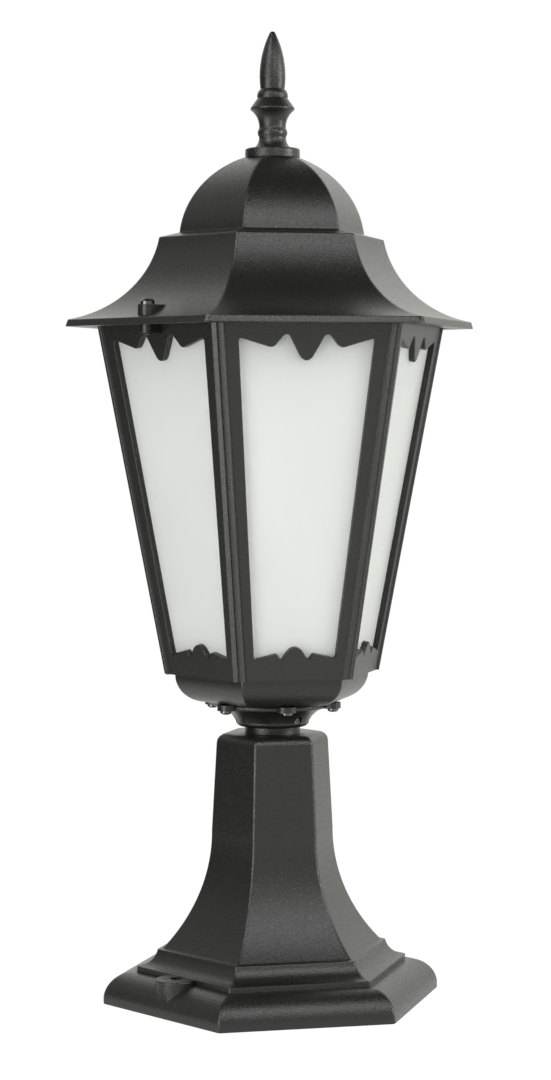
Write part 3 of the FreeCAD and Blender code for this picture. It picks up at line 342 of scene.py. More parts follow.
# %% Charcoal powder coat
def charcoal_powder_coat():
    finish, tree, shader = new_finish("charcoal_powder_coat")
    patches = grain(tree, size=35, detail=4)
    pebbles = grain(tree, size=0.8, detail=2)
    specks = grain(tree, size=0.45, detail=1)
    two_tones(tree, shader, spread(tree, patches, 0, 1), (0.006, 0.006, 0.0058), (0.008, 0.008, 0.0077))
    tree.links.new(spread(tree, pebbles, 0.25, 0.37), shader.inputs["Roughness"])
    relief(tree, shader, [pebbles, specks], depth=0.11)
    shader.inputs["Specular IOR Level"].default_value = 0.5
    return finish


coat = charcoal_powder_coat()
print(coat.name, "is made of", len(coat.node_tree.nodes), "nodes")

# %% [markdown]
# The panes are float glass with a satin-etched white face. Etched glass lets light through but scatters
# it, so things close behind it show as soft shadows. A rough transmission over a pale body gives that.

# %% Frosted glass
def frosted_glass():
    finish, tree, shader = new_finish("frosted_glass")
    clouds = grain(tree, size=45, detail=2)
    etch = grain(tree, size=0.25, detail=2)
    two_tones(tree, shader, spread(tree, clouds, 0, 1), (0.86, 0.88, 0.855), (0.88, 0.90, 0.875))
    tree.links.new(spread(tree, etch, 0.42, 0.55), shader.inputs["Roughness"])
    relief(tree, shader, [etch], depth=0.004)
    shader.inputs["Transmission Weight"].default_value = 0.6
    shader.inputs["IOR"].default_value = 1.47
    return finish


satin_glass = frosted_glass()
print(satin_glass.name, "is made of", len(satin_glass.node_tree.nodes), "nodes")

# %% [markdown]
# The metal small parts differ in colour and polish but share one recipe: drawn or turned metal with fine
# streaks and patches of tone. The same recipe without metal serves the porcelain, rubber and plastic.

# %% Finishes of the small parts
PATCH_GRAINS = 14


def small_part_finish(name, dark, light, smooth, rough, metallic, grain_size, depth):
    """A finish between two tones, from smooth to rough, with fine grain and patches of many grains."""
    finish, tree, shader = new_finish(name)
    patches = grain(tree, grain_size * PATCH_GRAINS)
    fine = grain(tree, grain_size)
    two_tones(tree, shader, spread(tree, patches, 0, 1), dark, light)
    tree.links.new(spread(tree, fine, smooth, rough), shader.inputs["Roughness"])
    relief(tree, shader, [fine], depth)
    shader.inputs["Metallic"].default_value = metallic
    return finish


small_finishes = {
    "zinc_steel": small_part_finish(
        "zinc_plating", (0.50, 0.51, 0.52), (0.62, 0.62, 0.60),
        smooth=0.25, rough=0.40, metallic=1.0, grain_size=0.5, depth=0.004),
    "dark_steel": small_part_finish(
        "blackened_steel", (0.10, 0.10, 0.10), (0.16, 0.16, 0.155),
        smooth=0.20, rough=0.34, metallic=1.0, grain_size=0.5, depth=0.004),
    "spring_steel": small_part_finish(
        "spring_strip", (0.48, 0.48, 0.49), (0.58, 0.58, 0.58),
        smooth=0.22, rough=0.36, metallic=1.0, grain_size=0.4, depth=0.003),
    "porcelain": small_part_finish(
        "glazed_porcelain", (0.80, 0.78, 0.73), (0.86, 0.84, 0.79),
        smooth=0.10, rough=0.20, metallic=0.0, grain_size=3.0, depth=0.010),
    "shell_brass": small_part_finish(
        "rolled_brass", (0.66, 0.50, 0.23), (0.77, 0.61, 0.31),
        smooth=0.22, rough=0.38, metallic=1.0, grain_size=0.6, depth=0.004),
    "grey_rubber": small_part_finish(
        "grommet_rubber", (0.035, 0.035, 0.036), (0.055, 0.055, 0.056),
        smooth=0.65, rough=0.80, metallic=0.0, grain_size=0.6, depth=0.010),
    "white_plastic": small_part_finish(
        "terminal_plastic", (0.74, 0.74, 0.71), (0.80, 0.80, 0.77),
        smooth=0.40, rough=0.55, metallic=0.0, grain_size=0.8, depth=0.006),
}
print("finishes:", sorted(material.name for material in bpy.data.materials if material.use_nodes))

# %% [markdown]
# The pedestal is one hollow casting: a plinth with a rounded top, a step with a cove, a column that
# flares to its foot, and a spigot on top that carries the lantern. Its outside is raised as a six-sided
# wall, softened, and closed over the round spigot and its cable bore. The inside follows 3.5 mm behind.

# %% Pedestal: walls, spigot and bore
plinth_face = node_box("pedestal")[1].y
pedestal_top = node_box("pedestal")[1].z
shaft_top = 133.5
ceiling = 127.5
spigot_radius = 13.85
cable_bore = 8.0
pedestal_section = [
    # down the inside
    (21.53, ceiling),
    (23.69, 85.0, 91.5),
    (45.5, 22.9),
    (47.6, 22.9, 13.1),
    (56.775, 14.8),
    (56.775, 12.1),
    (59.375, 12.1, -13.6),
    (71.41, 3.5),
    (71.41, 0.0),
    # up the outside
    (plinth_face, 0.0),
    (plinth_face, 3.5, 13.6),
    (61.475, 15.6),
    (60.275, 15.6),
    (60.275, 18.3, -9.6),
    (51.096, 26.4),
    (49.017, 26.4, -88.0),
    (27.193, 85.0),
    (25.028, 129.0, 4.5),
    (20.528, shaft_top),
]
bm = bmesh.new()
hex_wall(bm, pedestal_section)
soften_corners(bm)
spigot_foot = circle(bm, spigot_radius, shaft_top)
close_ring(bm, shaft_top)
spigot_head = carry(bm, spigot_foot, 1, pedestal_top - shaft_top)
bore = carry(bm, spigot_head, cable_bore / spigot_radius, 0)
carry(bm, bore, 1, ceiling - pedestal_top)
close_ring(bm, ceiling)
bmesh.ops.recalc_face_normals(bm, faces=bm.faces)
soften_ledges(bm)
pedestal = to_object(bm, "pedestal_casting")
print("pedestal walls and spigot:", len(pedestal.data.polygons), "faces")

# %% [markdown]
# Two lugs on opposite sides of the plinth take the ground screws. Each is a round boss that runs into
# the cove, hollow underneath, with a hole in its top. The bosses are joined first, then the pockets and
# the holes are cut. A cutter runs past the metal, because two faces in one plane confuse a Boolean.

# %% Pedestal: ground lugs
LUG_ANGLES = (radians(30), radians(210))
lug_offset = 64.275
lug_radius = 10.0
lug_rounding = 0.8
lug_top = 18.0
lug_foot = 4.5
pocket_radius = 6.5
pocket_top = 14.5
lug_hole = 3.0
OVERRUN = 5.0
OVERLAP = 1.0


def turned_place(offset, angle, height):
    """A place at a distance from the axis, at an angle round it and at a height."""
    return Matrix.Translation((offset * cos(angle), offset * sin(angle), height))


def rod(bm, radius, low, high, place=Matrix.Identity(4), count=32, rounding=0.0):
    """A closed cylinder between two heights, its upper edge rounded if asked."""
    middle = place @ Matrix.Translation((0, 0, (low + high) / 2))
    made = bmesh.ops.create_cone(bm, segments=count, radius1=radius, radius2=radius, depth=high - low,
                                 cap_ends=True, cap_tris=False, matrix=middle)
    if rounding:
        top = max(vert.co.z for vert in made["verts"])
        rim = [edge for edge in ring_edges(made["verts"]) if min(v.co.z for v in edge.verts) > top - NEAR]
        soften(bm, rim, rounding, CORNER_STEPS)


lugs = bmesh.new()
pockets = bmesh.new()
for angle in LUG_ANGLES:
    place = turned_place(lug_offset, angle, 0)
    rod(lugs, lug_radius, lug_foot, lug_top, place, count=ROUND, rounding=lug_rounding)
    rod(pockets, pocket_radius, -OVERRUN, pocket_top, place)
    rod(pockets, lug_hole, pocket_top - OVERLAP, lug_top + OVERRUN, place)
boolean(pedestal, lugs, "UNION")
boolean(pedestal, pockets, "DIFFERENCE")
dress(pedestal, coat, "charcoal_coat", "pedestal")

# %% [markdown]
# The neck is turned: a socket that drops over the spigot, with a lip, a collar and a funnel that flares
# to a thin flange. A round piece could also be stacked from cones, but spin carries the whole section
# round the axis at once and keeps its curves.

# %% Neck: turned funnel
neck_low, neck_high = node_box("neck_socket")
neck_foot = neck_low.z
socket_radius = 14.05
socket_depth = 9.0
lip = 1.3
collar_radius = 18.35
flange_radius = 28.45
flange_low = 9.6
grommet_seat = 10.7
grommet_depth = 2.0
neck_rise = neck_high.z - neck_foot
neck_section = [
    # up the outside
    (socket_radius, 0.0),
    (socket_radius + lip, 0.0, 2.6),
    (collar_radius, 1.8),
    (collar_radius, 2.4, -13.0),
    (flange_radius, flange_low, 1.6),
    (flange_radius, neck_rise),
    # down the inside
    (grommet_seat, neck_rise),
    (grommet_seat, neck_rise - grommet_depth),
    (cable_bore, neck_rise - grommet_depth),
    (cable_bore, socket_depth),
    (socket_radius, socket_depth),
    (socket_radius, 0.0),
]
WELD = 0.001


def turn(bm, corners, foot, steps=ROUND, step=0.8):
    """Spin a section, given as (radius, height above the foot), round the axis."""
    points = profile_points(corners, step)
    verts = [bm.verts.new((point.x, 0, point.y + foot)) for point in points]
    edges = [bm.edges.new(pair) for pair in zip(verts, verts[1:])]
    bmesh.ops.spin(bm, geom=verts + edges, axis=(0, 0, 1), cent=(0, 0, 0), angle=2 * pi, steps=steps,
                   use_merge=True)
    bmesh.ops.remove_doubles(bm, verts=bm.verts, dist=WELD)
    bmesh.ops.recalc_face_normals(bm, faces=bm.faces)


bm = bmesh.new()
turn(bm, neck_section, neck_foot)
soften_ledges(bm, FINE_ROUNDING)
neck = to_object(bm, "neck_casting")
print("neck funnel:", len(neck.data.polygons), "faces")

# %% [markdown]
# Six lugs reach out from the funnel, one under each screw of the bowl, and three grub screws go through
# the collar and hold the spigot. A lug is a block with a rounded end, joined to the funnel before the
# holes are drilled, as in the real casting.

# %% Neck: lugs, screw holes and grub screw holes
FACE_ANGLES = [radians(30 + 60 * face) for face in range(SIDES)]
GRUB_ANGLES = (radians(60), radians(180), radians(300))
screw_offset = 31.5
neck_lug_end = 3.7
neck_lug_width = 9.0
neck_lug_sheet = 2.9
m3_hole = 1.7
grub_radius = 2.0
grub_clearance = 0.2
grub_hole_length = 10.0
grub_rise = 3.4
END_SHARE = 0.42
END_STEPS = 5


def slab(bm, length, width, height, place):
    """A block along X from its own origin, with its far end rounded over a share of its width."""
    centre = Matrix.Translation((length / 2, 0, height / 2)) @ Matrix.Diagonal((length, width, height, 1))
    made = bmesh.ops.create_cube(bm, size=1, matrix=centre)["verts"]
    ends = [edge for edge in ring_edges(made)
            if all(vert.co.x > length - NEAR for vert in edge.verts)
            and edge.verts[0].co.y * edge.verts[1].co.y > 0]
    grown = soften(bm, ends, width * END_SHARE, END_STEPS)["verts"]
    whole = list(dict.fromkeys(vert for vert in made + grown if vert.is_valid))
    bmesh.ops.transform(bm, matrix=place, verts=whole)


def across(angle, offset, height):
    """A place whose Z points outward from the axis."""
    return (turned_place(offset, angle, height) @ Matrix.Rotation(angle, 4, "Z")
            @ Matrix.Rotation(pi / 2, 4, "Y"))


lugs = bmesh.new()
holes = bmesh.new()
lug_root = collar_radius
for angle in FACE_ANGLES:
    place = turned_place(lug_root, angle, neck_high.z - neck_lug_sheet) @ Matrix.Rotation(angle, 4, "Z")
    slab(lugs, screw_offset + neck_lug_end - lug_root, neck_lug_width, neck_lug_sheet, place)
    rod(holes, m3_hole, -OVERRUN, OVERRUN, turned_place(screw_offset, angle, neck_high.z), count=20)
for angle in GRUB_ANGLES:
    place = across(angle, socket_radius, neck_foot + grub_rise)
    rod(holes, grub_radius + grub_clearance, -OVERLAP, grub_hole_length, place, count=24)
boolean(neck, lugs, "UNION")
boolean(neck, holes, "DIFFERENCE")
dress(neck, coat, "charcoal_coat", "neck_socket")

# %% [markdown]
# The bowl is a six-sided dish that carries the panels on its lip. Its outside rises from a flat foot in
# a round sweep to a small ledge, and its lip stands behind the panels' feet. It is raised like the
# pedestal, and its floor is bridged to a round hole for the cable.

# %% Bowl
bowl_foot = node_box("bowl")[0].z
bowl_rim = node_box("bowl")[1].z
bowl_floor = 3.0
bowl_floor_reach = 29.964
bowl_shoulder = bowl_foot + 14.0
bowl_ledge = bowl_foot + 14.5
bowl_hole = 8.2
bowl_corner_rounding = 0.9
bowl_section = [
    # up the outside
    (bowl_floor_reach, bowl_foot, 13.9),
    (43.215, bowl_shoulder),
    (44.453, bowl_ledge),
    (45.624, bowl_rim),
    # down the inside
    (42.58, bowl_rim),
    (41.41, bowl_ledge),
    (40.215, bowl_shoulder, -10.9),
    (bowl_floor_reach, bowl_foot + bowl_floor),
]
bm = bmesh.new()
hex_wall(bm, bowl_section)
soften_corners(bm, bowl_corner_rounding)
hole = circle(bm, bowl_hole, bowl_foot)
close_ring(bm, bowl_foot)
carry(bm, hole, 1, bowl_floor)
close_ring(bm, bowl_foot + bowl_floor)
bmesh.ops.recalc_face_normals(bm, faces=bm.faces)
soften_ledges(bm, FINE_ROUNDING)
bowl = to_object(bm, "bowl_casting")
print("bowl walls and floor:", len(bowl.data.polygons), "faces")

# %% [markdown]
# The bowl's floor is too thin for a thread, so six bosses stand on it where the screws come up from the
# neck. Their holes stop short of the top, which keeps water out.

# %% Bowl: bosses and their screw holes
bowl_boss = 3.4
bowl_boss_rise = 8.5
bowl_boss_cap = 0.8
bosses = bmesh.new()
holes = bmesh.new()
for angle in FACE_ANGLES:
    place = turned_place(screw_offset, angle, bowl_foot)
    rod(bosses, bowl_boss, OVERLAP, bowl_boss_rise, place, count=24, rounding=FINE_ROUNDING)
    rod(holes, m3_hole, -OVERRUN, bowl_boss_rise - bowl_boss_cap, place, count=20)
boolean(bowl, bosses, "UNION")
boolean(bowl, holes, "DIFFERENCE")
dress(bowl, coat, "charcoal_coat", "bowl")

# %% [markdown]
# Each of the six side panels is a cast plate that leans outward, with a window and a raised rib along
# both seams. The window's ends have hanging lobes and a tongue, a traditional lantern ornament. One panel
# is drawn flat, X across and Y up the slope, and then placed on its face of the hexagon. The window is
# an n-gon of sharp corners, and each corner is rounded by a vertex bevel of its own radius.

# %% Panel: the window's outline
panel_foot = 164.0
panel_height = 175.8
panel_lean = 0.16729
panel_slope = sqrt(1 + panel_lean ** 2)
panel_length = panel_height * panel_slope
panel_foot_face = 47.545
seam_foot_half = 27.30
seam_head_half = 44.28
WINDOW_STEPS = 8
window_foot = 10.4 * panel_slope
window_head = 164.9 * panel_slope
window_corners = [
    # the right half, from the middle of the foot to the middle of the head, with rounding radii
    (0.0, 20.09 * panel_slope, 5.0),
    (6.2, window_foot, 0.3),
    (7.2, window_foot, 0.3),
    (8.83, 13.13 * panel_slope, 1.2),
    (20.2, window_foot, 0.8),
    (33.2, window_head, 1.4),
    (16.446, 159.94 * panel_slope, 3.0),
    (9.646, 168.1 * panel_slope, 2.4),
    (0.0, 150.49 * panel_slope, 3.9),
]


def rounded_window(bm):
    """The edges of the window, with every corner rounded."""
    left = [(-x, y, radius) for x, y, radius in reversed(window_corners[1:-1])]
    corners = window_corners + left
    verts = [bm.verts.new((x, y, 0)) for x, y, radius in corners]
    bm.faces.new(verts)
    places = [vert.co.copy() for vert in verts]
    for index, (x, y, radius) in enumerate(corners):
        arriving = places[index] - places[index - 1]
        leaving = places[(index + 1) % len(corners)] - places[index]
        cut_back = radius * tan(arriving.angle(leaving) / 2)
        bmesh.ops.bevel(bm, geom=[verts[index]], offset=cut_back, offset_type="OFFSET",
                        segments=WINDOW_STEPS, profile=0.5, affect="VERTICES", clamp_overlap=False,
                        material=-1)
    bmesh.ops.delete(bm, geom=bm.faces[:], context="FACES_ONLY")


print("the window is drawn with", 2 * len(window_corners) - 2, "corners")

# %% [markdown]
# The plate is filled between the window and the panel's outline. Triangles would spoil the bevels, so
# the plate is cut along its middle and each half is dissolved into one face. The face is extruded to the
# plate's thickness and mitred at the seams, where two panels meet.

# %% Panel: plate
plate = 3.0
mitre = plate * tan(pi / SIDES)
SIDEWAYS = (1, -1)
ON_PLANE = 0.0001


def seam_plane(side, inset):
    """A point on a line beside a seam and the direction from the seam into the panel."""
    seam = Vector((seam_head_half - seam_foot_half, panel_length)).normalized()
    inward = Vector((-seam.y * side, seam.x, 0))
    return Vector((seam_foot_half * side, 0, 0)) + inward * inset, inward


def beside_seam(spot, side):
    """How far a spot lies inward from a seam."""
    point, inward = seam_plane(side, 0)
    return (spot - point).dot(inward)


def on_line(vert, side, inset):
    """True for a vertex of the front or back that lies on a line beside a seam."""
    spot = Vector((vert.co.x, vert.co.y, 0))
    return abs(beside_seam(spot, side) - inset) < NEAR


def between_halves(vert):
    """True for a leftover point part of the way along the middle line."""
    neighbours = [edge.other_vert(vert) for edge in vert.link_edges]
    return len(neighbours) == 2 and all(abs(spot.co.x) < WELD for spot in neighbours + [vert])


def fill_plate(bm):
    """The flat plate round the window, as two faces that meet in the middle."""
    outline = [(seam_foot_half, 0), (seam_head_half, panel_length),
               (-seam_head_half, panel_length), (-seam_foot_half, 0)]
    verts = [bm.verts.new((x, y, 0)) for x, y in outline]
    for index, vert in enumerate(verts):
        bm.edges.new((verts[index - 1], vert))
    bmesh.ops.triangle_fill(bm, use_beauty=True, use_dissolve=False, edges=bm.edges)
    whole = bm.verts[:] + bm.edges[:] + bm.faces[:]
    bmesh.ops.bisect_plane(bm, geom=whole, dist=ON_PLANE, plane_co=(0, 0, 0), plane_no=(1, 0, 0))
    for side in SIDEWAYS:
        half = [face for face in bm.faces if face.calc_center_median().x * side > 0]
        bmesh.ops.dissolve_faces(bm, faces=half)
    bmesh.ops.dissolve_verts(bm, verts=[vert for vert in bm.verts if between_halves(vert)])
    bmesh.ops.recalc_face_normals(bm, faces=bm.faces)
    if bm.faces[:][0].normal.z < 0:
        bmesh.ops.reverse_faces(bm, faces=bm.faces)


def thicken_plate(bm):
    """Give the plate its thickness, mitre its back at both seams and level its two ends."""
    grown = bmesh.ops.extrude_face_region(bm, geom=bm.faces[:], use_keep_orig=True)["geom"]
    back = [part for part in grown if isinstance(part, bmesh.types.BMVert)]
    bmesh.ops.translate(bm, vec=(0, 0, -plate), verts=back)
    ends = [vert for vert in back if min(abs(vert.co.y), abs(vert.co.y - panel_length)) < NEAR]
    for side in SIDEWAYS:
        seam = [vert for vert in back if on_line(vert, side, 0)]
        bmesh.ops.translate(bm, vec=(-mitre * side, 0, 0), verts=seam)
    bmesh.ops.translate(bm, vec=(0, -plate * panel_lean, 0), verts=ends)


print("the plate is", plate, "mm thick and its back is cut back", round(mitre, 2), "mm at a seam")

# %% [markdown]
# A rib runs along each seam and stiffens the frame. It is a ridge with sloping flanks: three lines are
# drawn beside the seam and the middle one is lifted, nearer to the window than to the seam. bisect_plane
# draws a line straight across all the faces that it meets, which a loop cut can't do on such a plate.

# %% Panel: ribs
rib_inset = 0.8
rib_ridge = rib_inset + 2.0
rib_end = rib_inset + 2.9
rib_height = 1.2


def front_faces(bm):
    """The faces of the plate's front."""
    return [face for face in bm.faces if face.normal.z > 0.9 and face.calc_center_median().z > -plate / 2]


def raise_ribs(bm):
    """Draw three lines beside each seam on the front and lift the middle one to a ridge."""
    for side in SIDEWAYS:
        for inset in (rib_inset, rib_ridge, rib_end):
            front = front_faces(bm)
            edges = dict.fromkeys(edge for face in front for edge in face.edges)
            point, inward = seam_plane(side, inset)
            bmesh.ops.bisect_plane(bm, geom=front + list(edges), dist=ON_PLANE, plane_co=point,
                                   plane_no=inward)
    for side in SIDEWAYS:
        ridge = [vert for vert in bm.verts if vert.co.z > -NEAR and on_line(vert, side, rib_ridge)]
        bmesh.ops.translate(bm, vec=(0, 0, rib_height), verts=ridge)


print("a rib is", round(rib_end - rib_inset, 2), "mm wide and", rib_height, "mm high")

# %% [markdown]
# The ribs' ridges are rounded a little and the window's front edge a little more, where the powder lies
# thick. Then the drawing is finished and kept as a mesh, from which all six panels are made.

# %% Panel: softened edges and the finished drawing
rib_rounding = 0.35
window_rounding = 0.8
window_from_seam = 5.0
window_from_end = 2.0


def on_ridge(edge):
    return all(vert.co.z > rib_height - NEAR for vert in edge.verts)


def in_front(edge):
    return all(abs(vert.co.z) < NEAR for vert in edge.verts)


def at_window(edge):
    """True for an edge that lies well inside the panel's outline."""
    spot = edge.verts[0].co
    inside = min(beside_seam(spot, side) for side in SIDEWAYS) > window_from_seam
    return inside and window_from_end < spot.y < panel_length - window_from_end


bm = bmesh.new()
rounded_window(bm)
print("window outline:", len(bm.verts), "points")
fill_plate(bm)
thicken_plate(bm)
bmesh.ops.recalc_face_normals(bm, faces=bm.faces)
raise_ribs(bm)
bmesh.ops.recalc_face_normals(bm, faces=bm.faces)
soften(bm, [edge for edge in sharp_edges(bm) if on_ridge(edge)], rib_rounding, CORNER_STEPS)
window_edges = [edge for edge in sharp_edges(bm) if in_front(edge) and at_window(edge)]
soften(bm, window_edges, window_rounding, LEDGE_STEPS)
flat_panel = bpy.data.meshes.new("flat_panel")
bm.to_mesh(flat_panel)
bm.free()
print("flat panel:", len(flat_panel.polygons), "faces")

# %% [markdown]
# A matrix takes the flat drawing to each face of the lantern: its columns are the directions along the
# face, up the slope and out of it. Two opposite panels also have a lug under the eaves, into which the
# roof's screws go.

# %% Panel: the six places
FIT = 0.05
m4_hole = 2.2
roof_lug_radius = 4.0
roof_lug_sheet = 4.0
roof_lug_root = 74.5
roof_screw_offset = 81.4
ROOF_SCREW_ANGLES = (radians(30), radians(210))
rim_foot = node_box("roof")[0].z


def panel_place(angle):
    """From the flat drawing to a face of the leaning lantern."""
    out = Vector((cos(angle), sin(angle), 0))
    along = Vector((-sin(angle), cos(angle), 0))
    up_slope = (Vector((0, 0, 1)) + out * panel_lean).normalized()
    normal = along.cross(up_slope)
    place = Matrix((along, up_slope, normal)).transposed().to_4x4()
    place.translation = out * panel_foot_face + Vector((0, 0, panel_foot))
    return place


def roof_lug(bm, holes, angle):
    """The lug under the eaves that takes a roof screw."""
    low = rim_foot - FIT - roof_lug_sheet
    length = roof_screw_offset + roof_lug_radius - roof_lug_root
    place = turned_place(roof_lug_root, angle, low) @ Matrix.Rotation(angle, 4, "Z")
    slab(bm, length, roof_lug_radius * 2, roof_lug_sheet, place)
    drill = turned_place(roof_screw_offset, angle, low)
    rod(holes, m4_hole, -OVERRUN, roof_lug_sheet + OVERRUN, drill, count=24)


for face, angle in enumerate(FACE_ANGLES):
    number = face + 1
    bm = bmesh.new()
    bm.from_mesh(flat_panel)
    bmesh.ops.transform(bm, matrix=panel_place(angle), verts=bm.verts)
    panel = to_object(bm, f"panel_casting_{number}")
    if angle in ROOF_SCREW_ANGLES:
        lug = bmesh.new()
        holes = bmesh.new()
        roof_lug(lug, holes, angle)
        boolean(panel, lug, "UNION")
        boolean(panel, holes, "DIFFERENCE")
    dress(panel, coat, "charcoal_coat", f"side_panel_{number}")

# %% [markdown]
# The roof is a bell: a rim, a skirt that hollows up to a shoulder, and a dome. It is hollow like the
# pedestal and made the same way, with a recess under the rim that takes the panels' heads.

# %% Roof
rim_face = node_box("roof")[1].y
dome_top = node_box("finial")[0].z
dome_crown = 12.904
bolt_hole = 3.2
crown = 4.0
recess_top = rim_foot + 4.15
recess_reach = 79.155
eaves_reach = 72.413
roof_corner_rounding = 1.0
roof_ledge_rounding = 0.4
roof_section = [
    # down the inside
    (dome_crown, dome_top - crown, -41.9),
    (37.76, rim_foot + 45.0),
    (46.6, rim_foot + 42.6, 53.2),
    (eaves_reach, rim_foot + 6.07),
    (eaves_reach, recess_top),
    (recess_reach, recess_top),
    (recess_reach, rim_foot),
    # up the outside
    (rim_face, rim_foot),
    (rim_face - 0.1, rim_foot + 0.7),
    (89.85, rim_foot + 3.35, -50.0),
    (49.796, rim_foot + 44.2),
    (40.963, rim_foot + 46.6, 45.1),
    (dome_crown, dome_top),
]
bm = bmesh.new()
hex_wall(bm, roof_section)
soften_corners(bm, roof_corner_rounding)
bolt_ring = circle(bm, bolt_hole, dome_top)
close_ring(bm, dome_top)
carry(bm, bolt_ring, 1, -crown)
close_ring(bm, dome_top - crown)
bmesh.ops.recalc_face_normals(bm, faces=bm.faces)
soften_ledges(bm, roof_ledge_rounding)
roof = to_object(bm, "roof_casting")
print("roof bell:", len(roof.data.polygons), "faces")

# %% [markdown]
# The rim's six corners would be sharp enough to hurt, so each is blunted by a small leaning facet that
# catches the light. A leaning cube set against the corner cuts it, as a file would.

# %% Roof: blunted rim corners
facet_reach = 103.75
facet_lean = radians(19)
facet_block = 10.0
facets = bmesh.new()
for corner in range(SIDES):
    angle = radians(60 * corner)
    place = turned_place(facet_reach, angle, rim_foot) @ Matrix.Rotation(angle, 4, "Z")
    place = place @ Matrix.Rotation(-facet_lean, 4, "Y") @ Matrix.Translation((facet_block / 2, 0, 0))
    bmesh.ops.create_cube(facets, size=facet_block, matrix=place)
boolean(roof, facets, "DIFFERENCE")
print("roof with blunted corners:", len(roof.data.polygons), "faces")

# %% [markdown]
# Two bosses carry the roof's screws. Each has a tail that runs into the skirt, so that the screw's pull
# is spread over the thin metal. It is the same rounded block as the neck's lugs.

# %% Roof: bosses and screw holes
boss_radius = 4.4
boss_rise = 9.55
boss_low = 1.7
boss_tail = 9.0
bosses = bmesh.new()
holes = bmesh.new()
for angle in ROOF_SCREW_ANGLES:
    place = turned_place(roof_screw_offset - boss_tail, angle, rim_foot + boss_low)
    place = place @ Matrix.Rotation(angle, 4, "Z")
    slab(bosses, boss_tail + boss_radius, boss_radius * 2, boss_rise - boss_low, place)
    drill = turned_place(roof_screw_offset, angle, rim_foot)
    rod(holes, m4_hole, -OVERRUN, boss_rise + OVERRUN, drill, count=24)
boolean(roof, bosses, "UNION")
boolean(roof, holes, "DIFFERENCE")
dress(roof, coat, "charcoal_coat", "roof")

# %% [markdown]
# The finial is a small casting of its own, screwed on from inside the roof. Its profile has a flange, a
# hollow, a bead, a waist, a disc, a collar and a spike, and it is spun like the neck.

# %% Finial
finial_section = [
    # down the bolt's hole
    (0.0, 14.0),
    (bolt_hole, 12.4),
    (bolt_hole, 0.0),
    # up the outside
    (13.6, 0.0),
    (13.6, 3.6, 1.0),
    (12.6, 4.6),
    (9.6, 4.6, -6.5),
    (6.7, 10.3, 3.5),
    (6.7, 14.5, -10.0),
    (10.6, 23.4, 1.1),
    (10.6, 25.1),
    (7.5, 29.4, 4.2),
    (6.0, 33.9, 48.2),
    (1.3, 61.8, 1.3),
    (0.5, 62.3),
    (0.0, 62.3),
]
bm = bmesh.new()
turn(bm, finial_section, dome_top, steps=64, step=0.7)
finial = to_object(bm, "finial_casting")
dress(finial, coat, "charcoal_coat", "finial")

# %% [markdown]
# The screws that show have round heads with hexagon sockets. A section is spun up to the ring round the
# socket, that ring is bridged to a hexagon, and the hexagon is sunk and closed. The thread is a run of
# small teeth in the section, close enough to a fine thread at this size.

# %% Socket screws
thread_pitch = 0.7
thread_depth = 0.3
HEAD_SIDE = 0.55
HEAD_ROUND = 0.8
SOCKET_EDGE = 1.35


def socket_screw(bm, place, shank, length, head, head_rise, key, key_depth):
    """A screw whose head stands on the place's plane and whose shank goes down from it."""
    section = [(0.0, -length), (shank - thread_depth, -length)]
    height = -length
    while height < -thread_pitch * 1.5:
        section.append((shank, height + thread_pitch / 2))
        section.append((shank - thread_depth, height + thread_pitch))
        height += thread_pitch
    section += [(shank, 0.0), (head, 0.0), (head, head_rise * HEAD_SIDE, head * HEAD_ROUND)]
    section.append((key * SOCKET_EDGE, head_rise))
    part = bmesh.new()
    turn(part, section, 0, steps=24, step=0.5)
    socket = circle(part, key, head_rise, SIDES)
    close_ring(part, head_rise)
    floor = carry(part, socket, 1, -key_depth)
    bmesh.ops.edgeloop_fill(part, edges=floor)
    bmesh.ops.transform(part, matrix=place, verts=part.verts)
    finished = bpy.data.meshes.new("screw")
    part.to_mesh(finished)
    part.free()
    bm.from_mesh(finished)
    bpy.data.meshes.remove(finished)


print("a thread of", thread_pitch, "mm pitch is", thread_depth, "mm deep")

# %% [markdown]
# Two screws hold the roof, six come up through the neck into the bowl, and three headless grub screws
# lock the neck. Their places are those of the holes, and the frame's boxes say how long the first two are.

# %% Roof screws
dark_steel = small_finishes["dark_steel"]
m4_shank = 2.0
m4_head = 3.5
m4_head_rise = 2.7
m4_key = 1.7
m4_key_depth = 1.5
screw_low, screw_high = node_box("roof_screws")
seat = screw_high.z - m4_head_rise
bm = bmesh.new()
for angle in ROOF_SCREW_ANGLES:
    place = turned_place(roof_screw_offset, angle, seat)
    socket_screw(bm, place, m4_shank, seat - screw_low.z, m4_head, m4_head_rise, m4_key, m4_key_depth)
dress(to_object(bm, "roof_button_screws"), dark_steel, "dark_steel", "roof_screws")

# %% Bowl screws
m3_shank = 1.5
m3_head = 2.75
m3_head_rise = 1.8
m3_key = 1.25
m3_key_depth = 1.2
screw_low, screw_high = node_box("bowl_screws")
seat = screw_low.z + m3_head_rise
upside_down = Matrix.Rotation(pi, 4, "X")
bm = bmesh.new()
for angle in FACE_ANGLES:
    place = turned_place(screw_offset, angle, seat) @ upside_down
    socket_screw(bm, place, m3_shank, screw_high.z - seat, m3_head, m3_head_rise, m3_key, m3_key_depth)
dress(to_object(bm, "bowl_socket_screws"), dark_steel, "dark_steel", "bowl_screws")

# %% Grub screws
grub_thread = 3.8
grub_end = 0.5
grub_end_radius = grub_radius - 0.1
grub_key = 1.1
grub_key_depth = 1.4
bm = bmesh.new()
for angle in GRUB_ANGLES:
    place = across(angle, spigot_radius + FIT + grub_thread, neck_foot + grub_rise)
    socket_screw(bm, place, grub_radius, grub_thread, grub_end_radius, grub_end, grub_key, grub_key_depth)
dress(to_object(bm, "neck_grub_screws"), dark_steel, "dark_steel", "neck_screws")

